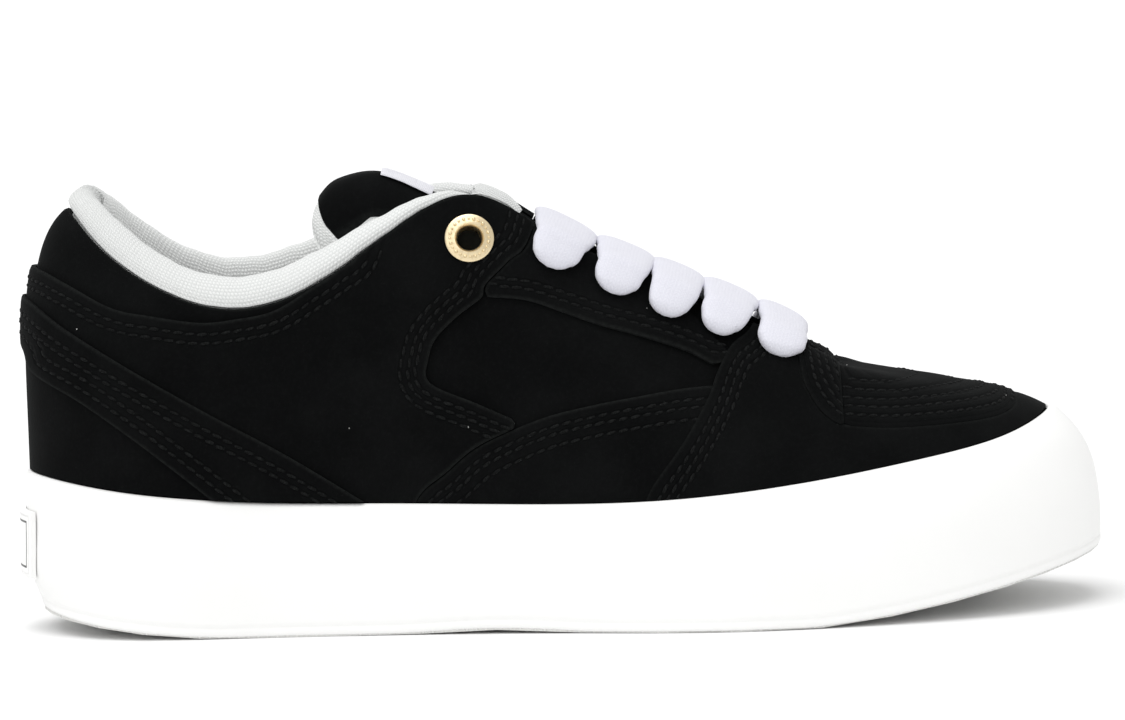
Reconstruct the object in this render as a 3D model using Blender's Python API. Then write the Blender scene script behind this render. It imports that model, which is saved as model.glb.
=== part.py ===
"""A low skateboarding shoe for the right foot: suede upper with sewn overlays on a white vulcanised sole.

Metres, +Z up, +X towards the toe, -Y towards the outer (lateral) side. The origin lies on the floor, in the
middle of the shoe's length and width. Every shell is worked out from one surface, wall(), which runs from
the feather edge, where the upper meets the sole, up to the edge of the collar and throat.
"""

import math
from collections import namedtuple

import bmesh
import bpy
import numpy as np
from mathutils import Matrix, Vector

# Overall sizes.
SOLE_LENGTH = 0.294
SOLE_WIDTH = 0.108
HEEL_HEIGHT = 0.1145
FOXING_HEIGHT = 0.0350

# Layers of the sole, from the ground up, and the rubber band around it.
OUTSOLE_THICKNESS = 0.0050
MIDSOLE_THICKNESS = 0.0050
INSOLE_THICKNESS = 0.0042
INSOLE_CLEARANCE = 0.0020
FOXING_THICKNESS = 0.0027
FOXING_LIP = 0.0015
FOXING_FOOT = 0.0016
OUTSOLE_RIM_INSET = 0.0005
TOE_SPRING = 0.0145
HEEL_KICK = 0.0065
ARCH_RISE = 0.0010
HEEL_TUCK = 0.0035
GROOVE_DEPTH = 0.0020
GROOVE_WIDTH = 0.0032
GROOVE_PITCH = 0.0165
TREAD_BORDER = 0.0100

# Where the underside leaves the floor, as shares of SOLE_LENGTH from the heel, and how fast it rises there.
HEEL_FLAT_START = 0.19
ARCH_START = 0.33
ARCH_END = 0.54
TOE_FLAT_END = 0.71
KICK_CURVE = 1.6
SPRING_CURVE = 1.5

# Upper, overlays and lining.
WALL = 0.0024
QUARTER_THICKNESS = 0.0016
EYESTAY_THICKNESS = 0.0010
SIDE_PANEL_THICKNESS = 0.0010
VAMP_THICKNESS = 0.0014
STRAP_THICKNESS = 0.0011
TOE_PANEL_THICKNESS = 0.0020
TOE_COVER_THICKNESS = 0.0008
THROAT_TAB_THICKNESS = 0.0016
COLLAR_ROLL = 0.0072
COLLAR_PAD = 0.0076
GAP = 0.0003
SEAM_GAP = 0.0004
LINING_GAP = 0.0005

# Lacing.
LACE_WIDTH = 0.0134
LACE_THICKNESS = 0.0036
LACE_CLEARANCE = 0.0012
LACE_REACH = 0.0185
LACE_END_CLEARANCE = 0.0005
HOLE_DIAMETER = 0.0050
HOLE_DEPTH = 0.0130
HOLE_REACH = 0.0080
EYELET_OUTER = 0.0140
EYELET_BORE = 0.0066
EYELET_TUBE = 0.0076
EYELET_FLANGE = 0.0011
EYELET_DEPTH = 0.0120

# Tongue, its label and the rubber patch at the heel.
TONGUE_THICKNESS = 0.0062
LABEL_THICKNESS = 0.0008
LABEL_LENGTH = 0.0150
LABEL_WIDTH = 0.0260
LABEL_FROM_TOP = 0.0230
PATCH_THICKNESS = 0.0017
PATCH_WIDTH = 0.0320
PATCH_HEIGHT = 0.0180
PATCH_MIDDLE = 0.0240

# One row for each section, from the back of the heel round either side to the tip of the toe. foot_* is the
# sole's outline and top_* the edge of the collar and throat: x as a share of SOLE_LENGTH from the heel, out
# and inn as shares of half SOLE_WIDTH towards the outer and inner side, z as a share of HEEL_HEIGHT. rise and
# reach are the lengths of the wall's curve handles at foot and top, as shares of HEEL_HEIGHT, flare and droop
# their angles in degrees. fox is the height of the white band as a share of FOXING_HEIGHT, roll and pad the
# height and thickness of the padded collar as shares of COLLAR_ROLL and COLLAR_PAD.
Section = namedtuple(
    "Section",
    "foot_x foot_out foot_inn top_x top_out top_inn top_z rise flare reach droop fox roll pad",
)
SECTIONS = [
    Section(0.0000, 0.019, -0.019, 0.0476, 0.009, -0.009, 1.000, 0.507, -1.5, 0.183, 44, 1.243, 1.30, 1.00),
    Section(0.0255, 0.426, 0.389, 0.0595, 0.213, 0.194, 0.970, 0.480, -2.5, 0.183, 48, 1.214, 1.25, 1.00),
    Section(0.0918, 0.676, 0.648, 0.0901, 0.403, 0.380, 0.892, 0.437, -3.0, 0.200, 58, 1.134, 1.05, 1.00),
    Section(0.2040, 0.731, 0.685, 0.1735, 0.537, 0.519, 0.776, 0.262, -3.0, 0.227, 74, 1.040, 1.00, 0.97),
    Section(0.3540, 0.769, 0.657, 0.2925, 0.528, 0.509, 0.838, 0.279, -5.0, 0.262, 72, 0.997, 0.97, 0.90),
    Section(0.4966, 0.870, 0.759, 0.4050, 0.426, 0.407, 1.008, 0.314, -6.0, 0.297, 62, 0.971, 0.36, 0.50),
    Section(0.6259, 1.000, 0.944, 0.4830, 0.343, 0.324, 0.925, 0.297, -4.0, 0.262, 50, 1.000, 0.25, 0.34),
    Section(0.7483, 0.950, 1.000, 0.5782, 0.287, 0.278, 0.803, 0.262, -2.0, 0.245, 42, 1.080, 0.25, 0.34),
    Section(0.8571, 0.775, 0.930, 0.6735, 0.241, 0.241, 0.680, 0.270, -1.0, 0.262, 32, 1.200, 0.25, 0.34),
    Section(0.9388, 0.520, 0.770, 0.7194, 0.194, 0.204, 0.603, 0.305, -1.0, 0.297, 22, 1.314, 0.25, 0.34),
    Section(0.9847, 0.215, 0.500, 0.7364, 0.083, 0.120, 0.573, 0.335, -1.5, 0.332, 17, 1.414, 0.25, 0.34),
    Section(1.0000, -0.148, 0.148, 0.7408, -0.019, 0.019, 0.566, 0.345, -1.5, 0.349, 15, 1.451, 0.25, 0.34),
]

# Steps of the lofts: stations round the shoe, levels up the wall above the band, how much closer the
# stations lie at heel and toe, and the points along a lace bar, the heel patch, and round an eyelet and a lace hole.
STATIONS = 44
LEVELS = 5
CROWDING = 0.45
BAR_STEPS = 11
PATCH_COLUMNS = 9
PATCH_ROWS = 5
EYELET_TURNS = 12
HOLE_SIDES = 6

# Seams in side view: x as a share of SOLE_LENGTH from the heel, z as a share of HEEL_HEIGHT.
QUARTER_TOP = [
    (-0.050, 0.873), (0.011, 0.865), (0.049, 0.830), (0.093, 0.774), (0.129, 0.753), (0.172, 0.736),
    (0.205, 0.742), (0.240, 0.759), (0.274, 0.808), (0.300, 0.850), (0.322, 0.905), (0.345, 1.150),
]
QUARTER_FRONT = [
    (0.500, 1.150), (0.475, 0.915), (0.454, 0.858), (0.433, 0.806), (0.430, 0.779), (0.407, 0.736),
    (0.387, 0.686), (0.380, 0.641), (0.380, 0.584), (0.421, 0.535), (0.457, 0.493),
]
FINGER_POINTS = 5
SIDE_PANEL_TOP = [
    (0.350, 0.200), (0.367, 0.314), (0.393, 0.371), (0.420, 0.427), (0.456, 0.471), (0.488, 0.501),
    (0.522, 0.521), (0.556, 0.537), (0.602, 0.553), (0.634, 0.558),
]
EYESTAY_LOW = [
    (0.430, 0.779), (0.468, 0.769), (0.500, 0.741), (0.535, 0.707), (0.573, 0.676), (0.614, 0.638),
    (0.636, 0.606),
]
VAMP_REAR = [
    (0.560, 0.200), (0.574, 0.305), (0.584, 0.351), (0.609, 0.435), (0.633, 0.534), (0.643, 0.592),
    (0.656, 0.644), (0.675, 0.678), (0.692, 0.750), (0.700, 0.860),
]
STRAP_HIGH = [
    (-0.050, 0.820), (0.003, 0.796), (0.048, 0.726), (0.114, 0.624), (0.181, 0.522), (0.247, 0.426),
    (0.325, 0.300),
]
STRAP_LOW = [
    (-0.050, 0.720), (0.001, 0.675), (0.013, 0.622), (0.058, 0.561), (0.104, 0.480), (0.148, 0.391),
    (0.205, 0.270),
]
TOE_PANEL_EDGE = [
    (0.715, 0.860), (0.718, 0.600), (0.728, 0.530), (0.744, 0.493), (0.756, 0.470), (0.793, 0.459),
    (0.829, 0.457), (0.865, 0.457), (0.900, 0.452), (0.914, 0.480), (0.926, 0.720),
]

# The raised cover on top of the toe, in plan: its middle and half sizes as shares of SOLE_LENGTH, and the
# seam between it and the tab at the foot of the throat.
COVER_X = 0.8170
COVER_HALF_LENGTH = 0.0600
COVER_HALF_WIDTH = 0.0850
TAB_SEAM = 0.7560

# Tongue sections from its hidden end under the vamp to its top: x as a share of SOLE_LENGTH from the heel,
# z and drop (how far its sides bend down) as shares of HEEL_HEIGHT, half its width as a share of half
# SOLE_WIDTH, and its thickness as a share of TONGUE_THICKNESS.
TongueSection = namedtuple("TongueSection", "x z half drop thick")
TONGUE = [
    TongueSection(0.765, 0.495, 0.24, 0.030, 0.45),
    TongueSection(0.735, 0.545, 0.28, 0.045, 0.45),
    TongueSection(0.700, 0.615, 0.32, 0.070, 0.50),
    TongueSection(0.600, 0.780, 0.40, 0.120, 0.60),
    TongueSection(0.500, 0.905, 0.40, 0.130, 0.75),
    TongueSection(0.450, 0.955, 0.30, 0.110, 0.85),
    TongueSection(0.395, 1.005, 0.27, 0.100, 1.00),
    TongueSection(0.337, 1.064, 0.30, 0.130, 1.20),
    TongueSection(0.300, 1.050, 0.31, 0.130, 1.15),
    TongueSection(0.282, 1.000, 0.28, 0.110, 0.70),
]

# Lace bars and eyelets along the throat's edge, as shares of SOLE_LENGTH from the heel.
LACE_X = [0.5050, 0.5600, 0.6070, 0.6540, 0.6990]
EYELET_X = 0.4060
COLLAR_END_X = 0.4300

# Each half of a lace bar from its end to the throat's edge: how far down the wall, as a share of LACE_REACH,
# and how far it stands clear of the eyestay there.
LACE_LIFTS = [(1.0, LACE_END_CLEARANCE), (0.5, LACE_CLEARANCE), (0.0, LACE_CLEARANCE)]

# Colours from the photograph, as linear RGB, with roughness and metallic value.
MATERIALS = {
    "suede": ((0.006, 0.006, 0.007), 0.95, 0.0),
    "rubber": ((0.86, 0.86, 0.84), 0.55, 0.0),
    "tread": ((0.80, 0.80, 0.78), 0.65, 0.0),
    "lining": ((0.78, 0.80, 0.79), 0.85, 0.0),
    "lace": ((0.80, 0.80, 0.86), 0.90, 0.0),
    "brass": ((0.75, 0.60, 0.38), 0.35, 1.0),
    "label": ((0.82, 0.82, 0.86), 0.70, 0.0),
}

HALF_WIDTH = SOLE_WIDTH / 2
ORIGIN_X = (PATCH_THICKNESS + GAP - SOLE_LENGTH) / 2
RIM_HEIGHT = FOXING_FOOT - GAP
FEATHER = OUTSOLE_THICKNESS + MIDSOLE_THICKNESS + 2 * GAP
BAND = FOXING_THICKNESS + GAP


def side_xz(points):
    """Turn a seam's shares of length and height into metres in side view."""
    return [(ORIGIN_X + x * SOLE_LENGTH, z * HEEL_HEIGHT) for x, z in points]


def periodic_spline(knots, values):
    """Return a function of s that runs smoothly through the values and repeats every 1."""
    knots = np.asarray(knots)
    values = np.asarray(values)
    count = len(knots)
    step = np.diff(np.append(knots, knots[0] + 1.0))
    after = np.roll(values, -1, axis=0)
    slope = (after - values) / step[:, None]
    matrix = np.zeros((count, count))
    for i in range(count):
        matrix[i, i - 1] += step[i - 1]
        matrix[i, i] += 2 * (step[i - 1] + step[i])
        matrix[i, (i + 1) % count] += step[i]
    bend = np.linalg.solve(matrix, 6 * (slope - np.roll(slope, 1, axis=0)))
    bend_after = np.roll(bend, -1, axis=0)

    def evaluate(s):
        s = np.mod(np.asarray(s, dtype=float), 1.0)
        i = np.clip(np.searchsorted(knots, s, side="right") - 1, 0, count - 1)
        h = step[i][..., None]
        b = (s - knots[i])[..., None] / h
        a = 1 - b
        curved = (a**3 - a) * bend[i] + (b**3 - b) * bend_after[i]
        return a * values[i] + b * after[i] + curved * h**2 / 6

    return evaluate


def section_values(row, side):
    """Give one section's sizes in metres; side is -1 on the outer side and 1 on the inner side."""
    across = (row.foot_out, row.top_out) if side < 0 else (row.foot_inn, row.top_inn)
    return [
        ORIGIN_X + row.foot_x * SOLE_LENGTH, side * across[0] * HALF_WIDTH,
        ORIGIN_X + row.top_x * SOLE_LENGTH, side * across[1] * HALF_WIDTH, row.top_z * HEEL_HEIGHT,
        row.rise * HEEL_HEIGHT, math.radians(row.flare), row.reach * HEEL_HEIGHT, math.radians(row.droop),
        row.fox * FOXING_HEIGHT, row.roll * COLLAR_ROLL, row.pad * COLLAR_PAD,
    ]


def section_spline():
    """Join the sections round the shoe: s is 0 at the heel, 0.5 at the toe, and grows along the outer side."""
    outer = np.array([section_values(row, -1) for row in SECTIONS])
    inner = np.array([section_values(row, 1) for row in SECTIONS])
    steps = (np.linalg.norm(np.diff(outer[:, :2], axis=0), axis=1)
             + np.linalg.norm(np.diff(inner[:, :2], axis=0), axis=1))
    along = np.concatenate([[0.0], np.cumsum(steps)]) / steps.sum() / 2
    knots = np.concatenate([along, 1 - along[-2:0:-1]])
    return periodic_spline(knots, np.concatenate([outer, inner[-2:0:-1]]))


SECTION_AT = section_spline()


def ground(x):
    """Height of the sole's underside above the floor: heel kick, arch and toe spring round two flat spots."""
    u = (np.asarray(x) - ORIGIN_X) / SOLE_LENGTH
    heel = HEEL_KICK * np.clip(1 - u / HEEL_FLAT_START, 0, None) ** KICK_CURVE
    arch = ARCH_RISE * np.sin(np.pi * np.clip((u - ARCH_START) / (ARCH_END - ARCH_START), 0, 1)) ** 2
    toe = TOE_SPRING * np.clip((u - TOE_FLAT_END) / (1 - TOE_FLAT_END), 0, None) ** SPRING_CURVE
    return heel + arch + toe


def outline(s, inset=0.0):
    """Points of the sole's outline in plan, moved inwards by inset."""
    step = 1e-4
    point = SECTION_AT(s)[..., :2]
    run = SECTION_AT(np.asarray(s) + step)[..., :2] - SECTION_AT(np.asarray(s) - step)[..., :2]
    run = run / np.linalg.norm(run, axis=-1, keepdims=True)
    outward = np.stack([run[..., 1], -run[..., 0]], axis=-1)
    return point - inset * outward, outward


def join3(plan, z):
    """Put plan points at a height."""
    return np.concatenate([plan, np.broadcast_to(z, plan.shape[:-1])[..., None]], axis=-1)


def wall_point(s, h):
    """A point of the upper's outer surface: h runs from 0 at the feather edge to 1 at the collar's edge."""
    s, h = np.broadcast_arrays(np.asarray(s, dtype=float), np.asarray(h, dtype=float))
    value = SECTION_AT(s)
    plan, outward = outline(s, BAND)
    foot = join3(plan, ground(plan[..., 0]) + FEATHER)
    top = value[..., 2:5]
    rise, flare, reach, droop = (value[..., k, None] for k in range(5, 9))
    lean = top[..., :2] - plan
    lean = -lean / np.maximum(np.linalg.norm(lean, axis=-1, keepdims=True), 1e-9)
    low = foot + rise * np.concatenate([np.sin(flare) * outward, np.cos(flare)], axis=-1)
    high = top + reach * np.concatenate([np.cos(droop) * lean, -np.sin(droop)], axis=-1)
    h = h[..., None]
    return (1 - h) ** 3 * foot + 3 * h * (1 - h) ** 2 * low + 3 * h**2 * (1 - h) * high + h**3 * top


def wall_frame(s, h):
    """Outward normal and upward tangent of the upper's outer surface."""
    step = 1e-4
    h = np.clip(h, step, 1 - step)
    along = wall_point(np.asarray(s) + step, h) - wall_point(np.asarray(s) - step, h)
    up = wall_point(s, h + step) - wall_point(s, h - step)
    up = up / np.linalg.norm(up, axis=-1, keepdims=True)
    normal = np.cross(along, up)
    return normal / np.linalg.norm(normal, axis=-1, keepdims=True), up


def wall(s, h, offset=0.0):
    """The upper's outer surface, moved outwards by offset."""
    return wall_point(s, h) + offset * wall_frame(s, h)[0]


def level_of(s, z):
    """The level h at which the wall reaches height z at each station."""
    low = np.zeros_like(s)
    high = np.full_like(s, 0.8)
    for _ in range(30):
        middle = (low + high) / 2
        below = wall_point(s, middle)[..., 2] < z
        low = np.where(below, middle, low)
        high = np.where(below, high, middle)
    return (low + high) / 2


def stations(count):
    """Stations round the shoe, closer together at heel and toe."""
    t = np.arange(count) / count
    return t - CROWDING / (4 * math.pi) * np.sin(4 * math.pi * t)


RING = stations(STATIONS)
BAND_TOP = SECTION_AT(RING)[:, 9]
BAND_LEVEL = level_of(RING, BAND_TOP)


def levels(first):
    """Levels up the wall from the band's top; first is the lowest, and the table has a row per station."""
    climb = np.arange(1, LEVELS + 1) / LEVELS
    upper = BAND_LEVEL[:, None] + (1 - BAND_LEVEL[:, None]) * climb
    return np.concatenate([first, upper], axis=1)


def material(name):
    """Make or find a material of the table."""
    found = bpy.data.materials.get(name)
    if found:
        return found
    colour, roughness, metallic = MATERIALS[name]
    made = bpy.data.materials.new(name)
    made.use_nodes = True
    shader = made.node_tree.nodes["Principled BSDF"]
    shader.inputs["Base Color"].default_value = (*colour, 1.0)
    shader.inputs["Roughness"].default_value = roughness
    shader.inputs["Metallic"].default_value = metallic
    made.diffuse_color = (*colour, 1.0)
    return made


def patch(bm, points):
    """Add a grid of faces through a table of points."""
    rows, columns = len(points), len(points[0])
    grid = bmesh.ops.create_grid(bm, x_segments=rows - 1, y_segments=columns - 1, size=1.0)
    for vertex in grid["verts"]:
        i = round((vertex.co.x + 1) / 2 * (rows - 1))
        j = round((vertex.co.y + 1) / 2 * (columns - 1))
        vertex.co = Vector(points[i][j])
    faces = {face for vertex in grid["verts"] for face in vertex.link_faces}
    bmesh.ops.triangulate(bm, faces=list(faces), quad_method="FIXED")


def finish(name, bm, surface, smooth=35):
    """Weld the faces into one closed body and make it an object."""
    bmesh.ops.remove_doubles(bm, verts=bm.verts, dist=2e-6)
    bmesh.ops.dissolve_degenerate(bm, edges=bm.edges, dist=1e-6)
    bmesh.ops.recalc_face_normals(bm, faces=bm.faces)
    mesh = bpy.data.meshes.new(name)
    bm.to_mesh(mesh)
    bm.free()
    mesh.shade_smooth()
    mesh.set_sharp_from_angle(angle=math.radians(smooth))
    mesh.materials.append(material(surface))
    body = bpy.data.objects.new(name, mesh)
    bpy.context.scene.collection.objects.link(body)
    return body


def closed(points, axis):
    """Repeat the first row or column at the end, so that a grid closes on itself."""
    return np.concatenate([points, np.take(points, [0], axis=axis)], axis=axis)


def ring_solid(name, sections, surface):
    """A ring whose closed section is given at each station."""
    bm = bmesh.new()
    patch(bm, closed(closed(sections, 0), 1))
    return finish(name, bm, surface)


def shell_solid(name, outer, inner, surface):
    """A ring between two surfaces whose points match, split into triangles the same way."""
    bm = bmesh.new()
    outer = closed(outer, 0)
    inner = closed(inner, 0)
    patch(bm, outer)
    patch(bm, inner)
    for j in (0, -1):
        patch(bm, np.stack([outer[:, j], inner[:, j]], axis=1))
    return finish(name, bm, surface)


def strip_solid(name, outer, inner, surface):
    """A sheet between an outer and an inner grid of points, closed along its four edges."""
    bm = bmesh.new()
    patch(bm, outer)
    patch(bm, inner)
    for edge in (lambda g: g[0], lambda g: g[-1], lambda g: g[:, 0], lambda g: g[:, -1]):
        patch(bm, np.stack([edge(outer), edge(inner)]))
    return finish(name, bm, surface)


def slab(name, rings, surface):
    """A layer of the sole: rings of points from the bottom up, closed across by strips at both ends."""
    bm = bmesh.new()
    patch(bm, closed(np.array(rings), 1))
    half = STATIONS // 2
    for ring in (rings[0], rings[-1]):
        outer = ring[: half + 1]
        inner = np.concatenate([ring[:1], ring[:half - 1:-1]])
        patch(bm, np.stack([outer, inner]))
    return finish(name, bm, surface)


def cutter(name, outline_points, place, low, high):
    """A hidden prism: an outline in one plane, pushed from low to high; place turns (u, v, w) into a point."""
    bm = bmesh.new()
    face = bm.faces.new([bm.verts.new(Vector(place(u, v, low))) for u, v in outline_points])
    pushed = bmesh.ops.extrude_face_region(bm, geom=[face])
    shift = Vector(place(0, 0, high)) - Vector(place(0, 0, low))
    bmesh.ops.translate(bm, verts=[v for v in pushed["geom"] if isinstance(v, bmesh.types.BMVert)], vec=shift)
    return hide(finish(name, bm, "rubber"))


def hide(body):
    """Mark a cutter as a guide that isn't part of the shoe."""
    body.hide_render = True
    body.display_type = "WIRE"
    return body


def cut(body, tool, operation):
    """Cut or trim a body with a hidden one."""
    step = body.modifiers.new(tool.name, "BOOLEAN")
    step.operation = operation
    step.solver = "EXACT"
    step.object = tool


def side_prism(name, outline_points, low=-SOLE_WIDTH, high=SOLE_WIDTH):
    """A cutter drawn in side view and pushed across the shoe."""
    return cutter(name, outline_points, lambda u, v, w: (u, w, v), low, high)


def smooth_line(points, steps=3):
    """Round a seam with a Catmull-Rom curve through its points."""
    p = np.array(points)
    p = np.concatenate([[2 * p[0] - p[1]], p, [2 * p[-1] - p[-2]]])
    t = np.arange(steps)[:, None] / steps
    runs = [0.5 * (2 * b + (c - a) * t + (2 * a - 5 * b + 4 * c - d) * t**2 + (3 * b - a - 3 * c + d) * t**3)
            for a, b, c, d in zip(p[:-3], p[1:-2], p[2:-1], p[3:])]
    return [tuple(point) for point in np.concatenate(runs + [p[-2:-1]])]


def shifted(points, dx=0.0, dz=0.0):
    """Move a seam in side view."""
    return [(x + dx, z + dz) for x, z in points]


def seam(points, dx=0.0, dz=0.0):
    """A rounded seam of the side view in metres, moved by a gap."""
    return smooth_line(shifted(side_xz(points), dx, dz))


def shell(name, low, high, surface="suede"):
    """The whole wall above the band between two offsets, from which an overlay is cut."""
    first = level_of(RING, BAND_TOP + GAP)[:, None]
    climb = levels(first)
    outer = wall(RING[:, None], climb, high)
    inner = wall(RING[:, None], climb, low)
    return shell_solid(name, outer, inner, surface)


def outsole():
    """Rubber slab with a full-width rim below the band and grooves in the tread."""
    rim = outline(RING, OUTSOLE_RIM_INSET)[0] + heel_tuck(RING, 0.0)
    core = outline(RING, BAND + GAP)[0]
    low = core + heel_tuck(RING, 0.0)
    high = core + heel_tuck(RING, OUTSOLE_THICKNESS)
    rings = [
        join3(rim, ground(rim[:, 0])),
        join3(rim, ground(rim[:, 0]) + RIM_HEIGHT),
        join3(low, ground(core[:, 0]) + RIM_HEIGHT),
        join3(high, ground(core[:, 0]) + OUTSOLE_THICKNESS),
    ]
    body = slab("outsole", rings, "tread")
    cut(body, grooves(), "DIFFERENCE")


def heel_tuck(s, height):
    """Plan shift that draws the sole in at the back of the heel, less with height above the underside."""
    _, outward = outline(s)
    turn = np.clip(-outward[:, 0], 0, 1) ** 2
    near_heel = np.cos(2 * math.pi * s) > 0
    share = 1 - (height - FOXING_FOOT) / (FEATHER - FOXING_FOOT)
    amount = HEEL_TUCK * turn * near_heel * min(max(share, 0.0), 1.0)
    return -outward * amount[:, None]


def grooves():
    """Chevron grooves across the tread, clear of its border, as one hidden body."""
    bm = bmesh.new()
    half = STATIONS // 2
    edge, _ = outline(RING, TREAD_BORDER)
    outer = edge[: half + 1]
    inner = np.concatenate([edge[:1], edge[:half - 1:-1]])
    first = ORIGIN_X + 0.5 * (TREAD_BORDER + GROOVE_PITCH) + TREAD_BORDER
    last = ORIGIN_X + SOLE_LENGTH - TREAD_BORDER - GROOVE_PITCH
    for x in np.arange(first, last, GROOVE_PITCH):
        low = np.interp(x, outer[:, 0], outer[:, 1])
        high = np.interp(x, inner[:, 0], inner[:, 1])
        middle = (low + high) / 2
        line = [(x, low), (x + GROOVE_PITCH / 3, middle), (x, high)]
        table = []
        for px, py in line:
            near, far = px - GROOVE_WIDTH / 2, px + GROOVE_WIDTH / 2
            roof = float(ground(px)) + GROOVE_DEPTH
            floor = -GROOVE_DEPTH
            table.append([(near, py, floor), (far, py, floor), (far, py, roof), (near, py, roof)])
        groove = bmesh.new()
        patch(groove, closed(np.array(table), 1))
        bmesh.ops.holes_fill(groove, edges=groove.edges, sides=4)
        bmesh.ops.remove_doubles(groove, verts=groove.verts, dist=1e-6)
        bmesh.ops.holes_fill(groove, edges=groove.edges, sides=4)
        piece = bpy.data.meshes.new("groove")
        groove.to_mesh(piece)
        groove.free()
        bm.from_mesh(piece)
        bpy.data.meshes.remove(piece)
    return hide(finish("tread_grooves", bm, "tread"))


def midsole():
    """Board between the outsole and the upper, inside the band."""
    core, _ = outline(RING, BAND + GAP)
    low = core + heel_tuck(RING, OUTSOLE_THICKNESS + GAP)
    rings = [
        join3(low, ground(core[:, 0]) + OUTSOLE_THICKNESS + GAP),
        join3(core, ground(core[:, 0]) + FEATHER - GAP),
    ]
    slab("midsole", rings, "lining")


def band_outside(s, level, extra=0.0):
    """Outer face of the band above the feather edge."""
    return wall(s, level, BAND + extra)


def foxing():
    """White rubber band: straight below the feather edge, on the wall's own surface above it."""
    plan, _ = outline(RING)
    inside, _ = outline(RING, BAND - GAP)
    floor = ground(plan[:, 0])
    depth = BAND_LEVEL * 0.5
    lip = level_of(RING, BAND_TOP - 2.5 * FOXING_LIP)
    near_lip = level_of(RING, BAND_TOP - 0.8 * FOXING_LIP)
    rows = [
        join3(inside + heel_tuck(RING, FOXING_FOOT), floor + FOXING_FOOT),
        join3(inside, floor + FEATHER),
        wall(RING, depth, GAP),
        wall(RING, BAND_LEVEL, GAP),
        band_outside(RING, BAND_LEVEL, -FOXING_LIP),
        band_outside(RING, near_lip, -0.35 * FOXING_LIP),
        band_outside(RING, lip),
        band_outside(RING, depth),
        join3(plan, floor + FEATHER),
        join3(plan + heel_tuck(RING, FEATHER / 2), floor + FEATHER / 2),
        join3(plan + heel_tuck(RING, FOXING_FOOT), floor + FOXING_FOOT),
    ]
    ring_solid("foxing", np.stack(rows, axis=1), "rubber")


def heel_patch():
    """Bare rubber patch round the back of the band."""
    reach = PATCH_WIDTH / 2
    offsets = np.linspace(-reach, reach, PATCH_COLUMNS)
    perimeter = np.linalg.norm(np.diff(closed(outline(RING)[0], 0), axis=0), axis=1).sum()
    s = offsets / perimeter
    half = PATCH_HEIGHT / 2
    heights = np.linspace(PATCH_MIDDLE - half, PATCH_MIDDLE + half, PATCH_ROWS)

    def face(extra):
        table = []
        for z in heights:
            plan, outward = outline(s)
            low = join3(plan + outward * extra, z)
            floor = ground(plan[:, 0]) + FEATHER
            high = band_outside(s, level_of(s, np.full_like(s, z)), extra)
            blend = np.clip((z - floor) / (0.15 * FOXING_HEIGHT), 0, 1)[:, None]
            table.append(low * (1 - blend) + high * blend)
        return np.array(table)

    strip_solid("heel_patch", face(GAP + PATCH_THICKNESS), face(GAP), "rubber")


def insole():
    """Cupped insole inside the upper."""
    edge, _ = outline(RING, BAND + WALL + INSOLE_CLEARANCE)
    shelf, _ = outline(RING, BAND + WALL + INSOLE_CLEARANCE + 0.10 * SOLE_WIDTH)
    floor = ground(edge[:, 0]) + FEATHER
    rings = [
        join3(edge, floor),
        join3(edge, floor + INSOLE_THICKNESS),
        join3(shelf, ground(shelf[:, 0]) + FEATHER + 0.8 * INSOLE_THICKNESS),
    ]
    slab("insole", rings, "lining")


def upper():
    """The suede wall, open at the collar, the throat and underneath."""
    first = np.stack([np.zeros(STATIONS), BAND_LEVEL * 0.5, BAND_LEVEL], axis=1)
    climb = levels(first)
    outer = wall(RING[:, None], climb)
    inner = wall(RING[:, None], climb, -WALL)
    body = shell_solid("upper", outer, inner, "suede")
    cut(body, HOLES, "DIFFERENCE")


def overlay(name, low, high, tools, holes=False):
    """A panel cut from the shell between two offsets; tools are (prism, operation) pairs."""
    body = shell(name, low, high)
    for tool, operation in tools:
        cut(body, tool, operation)
    if holes:
        cut(body, HOLES, "DIFFERENCE")


def station_at(x, side):
    """The station where the edge of the collar or throat passes x, on one side of the shoe."""
    s = np.linspace(0.12, 0.49, 371)
    s = s if side < 0 else 1 - s
    return float(np.interp(ORIGIN_X + x * SOLE_LENGTH, wall_point(s, 1.0)[:, 0], s))


def level_below(s, depth):
    """The level that lies depth below the edge of the wall at station s."""
    h = np.linspace(0.4, 1.0, 241)
    points = wall_point(np.full_like(h, s), h)
    steps = np.linalg.norm(np.diff(points, axis=0), axis=1)
    down = np.concatenate([np.cumsum(steps[::-1])[::-1], [0.0]])
    return float(np.interp(depth, down[::-1], h[::-1]))


def below_edge(s, depth):
    """Station and level of the point that lies depth below the throat's edge, square to the edge at s."""
    edge = wall_point(s, 1.0)
    along = wall_point(s + 0.002, 1.0) - wall_point(s - 0.002, 1.0)
    pace = np.linalg.norm(along) / 0.004
    along = along / np.linalg.norm(along)
    t = s
    for _ in range(6):
        h = level_below(t, depth)
        t = t - float((wall_point(t, h) - edge) @ along) / pace
    return t, level_below(t, depth)


def cylinder(bm, centre, direction, diameter, low, high, segments=10):
    """Add a cylinder along a direction, from low to high on either side of its centre."""
    turn = Vector(direction).to_track_quat("Z", "Y").to_matrix().to_4x4()
    middle = Vector(centre) + Vector(direction) * (low + high) / 2
    bmesh.ops.create_cone(
        bm, cap_ends=True, segments=segments, radius1=diameter / 2, radius2=diameter / 2,
        depth=high - low, matrix=Matrix.Translation(middle) @ turn)


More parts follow.
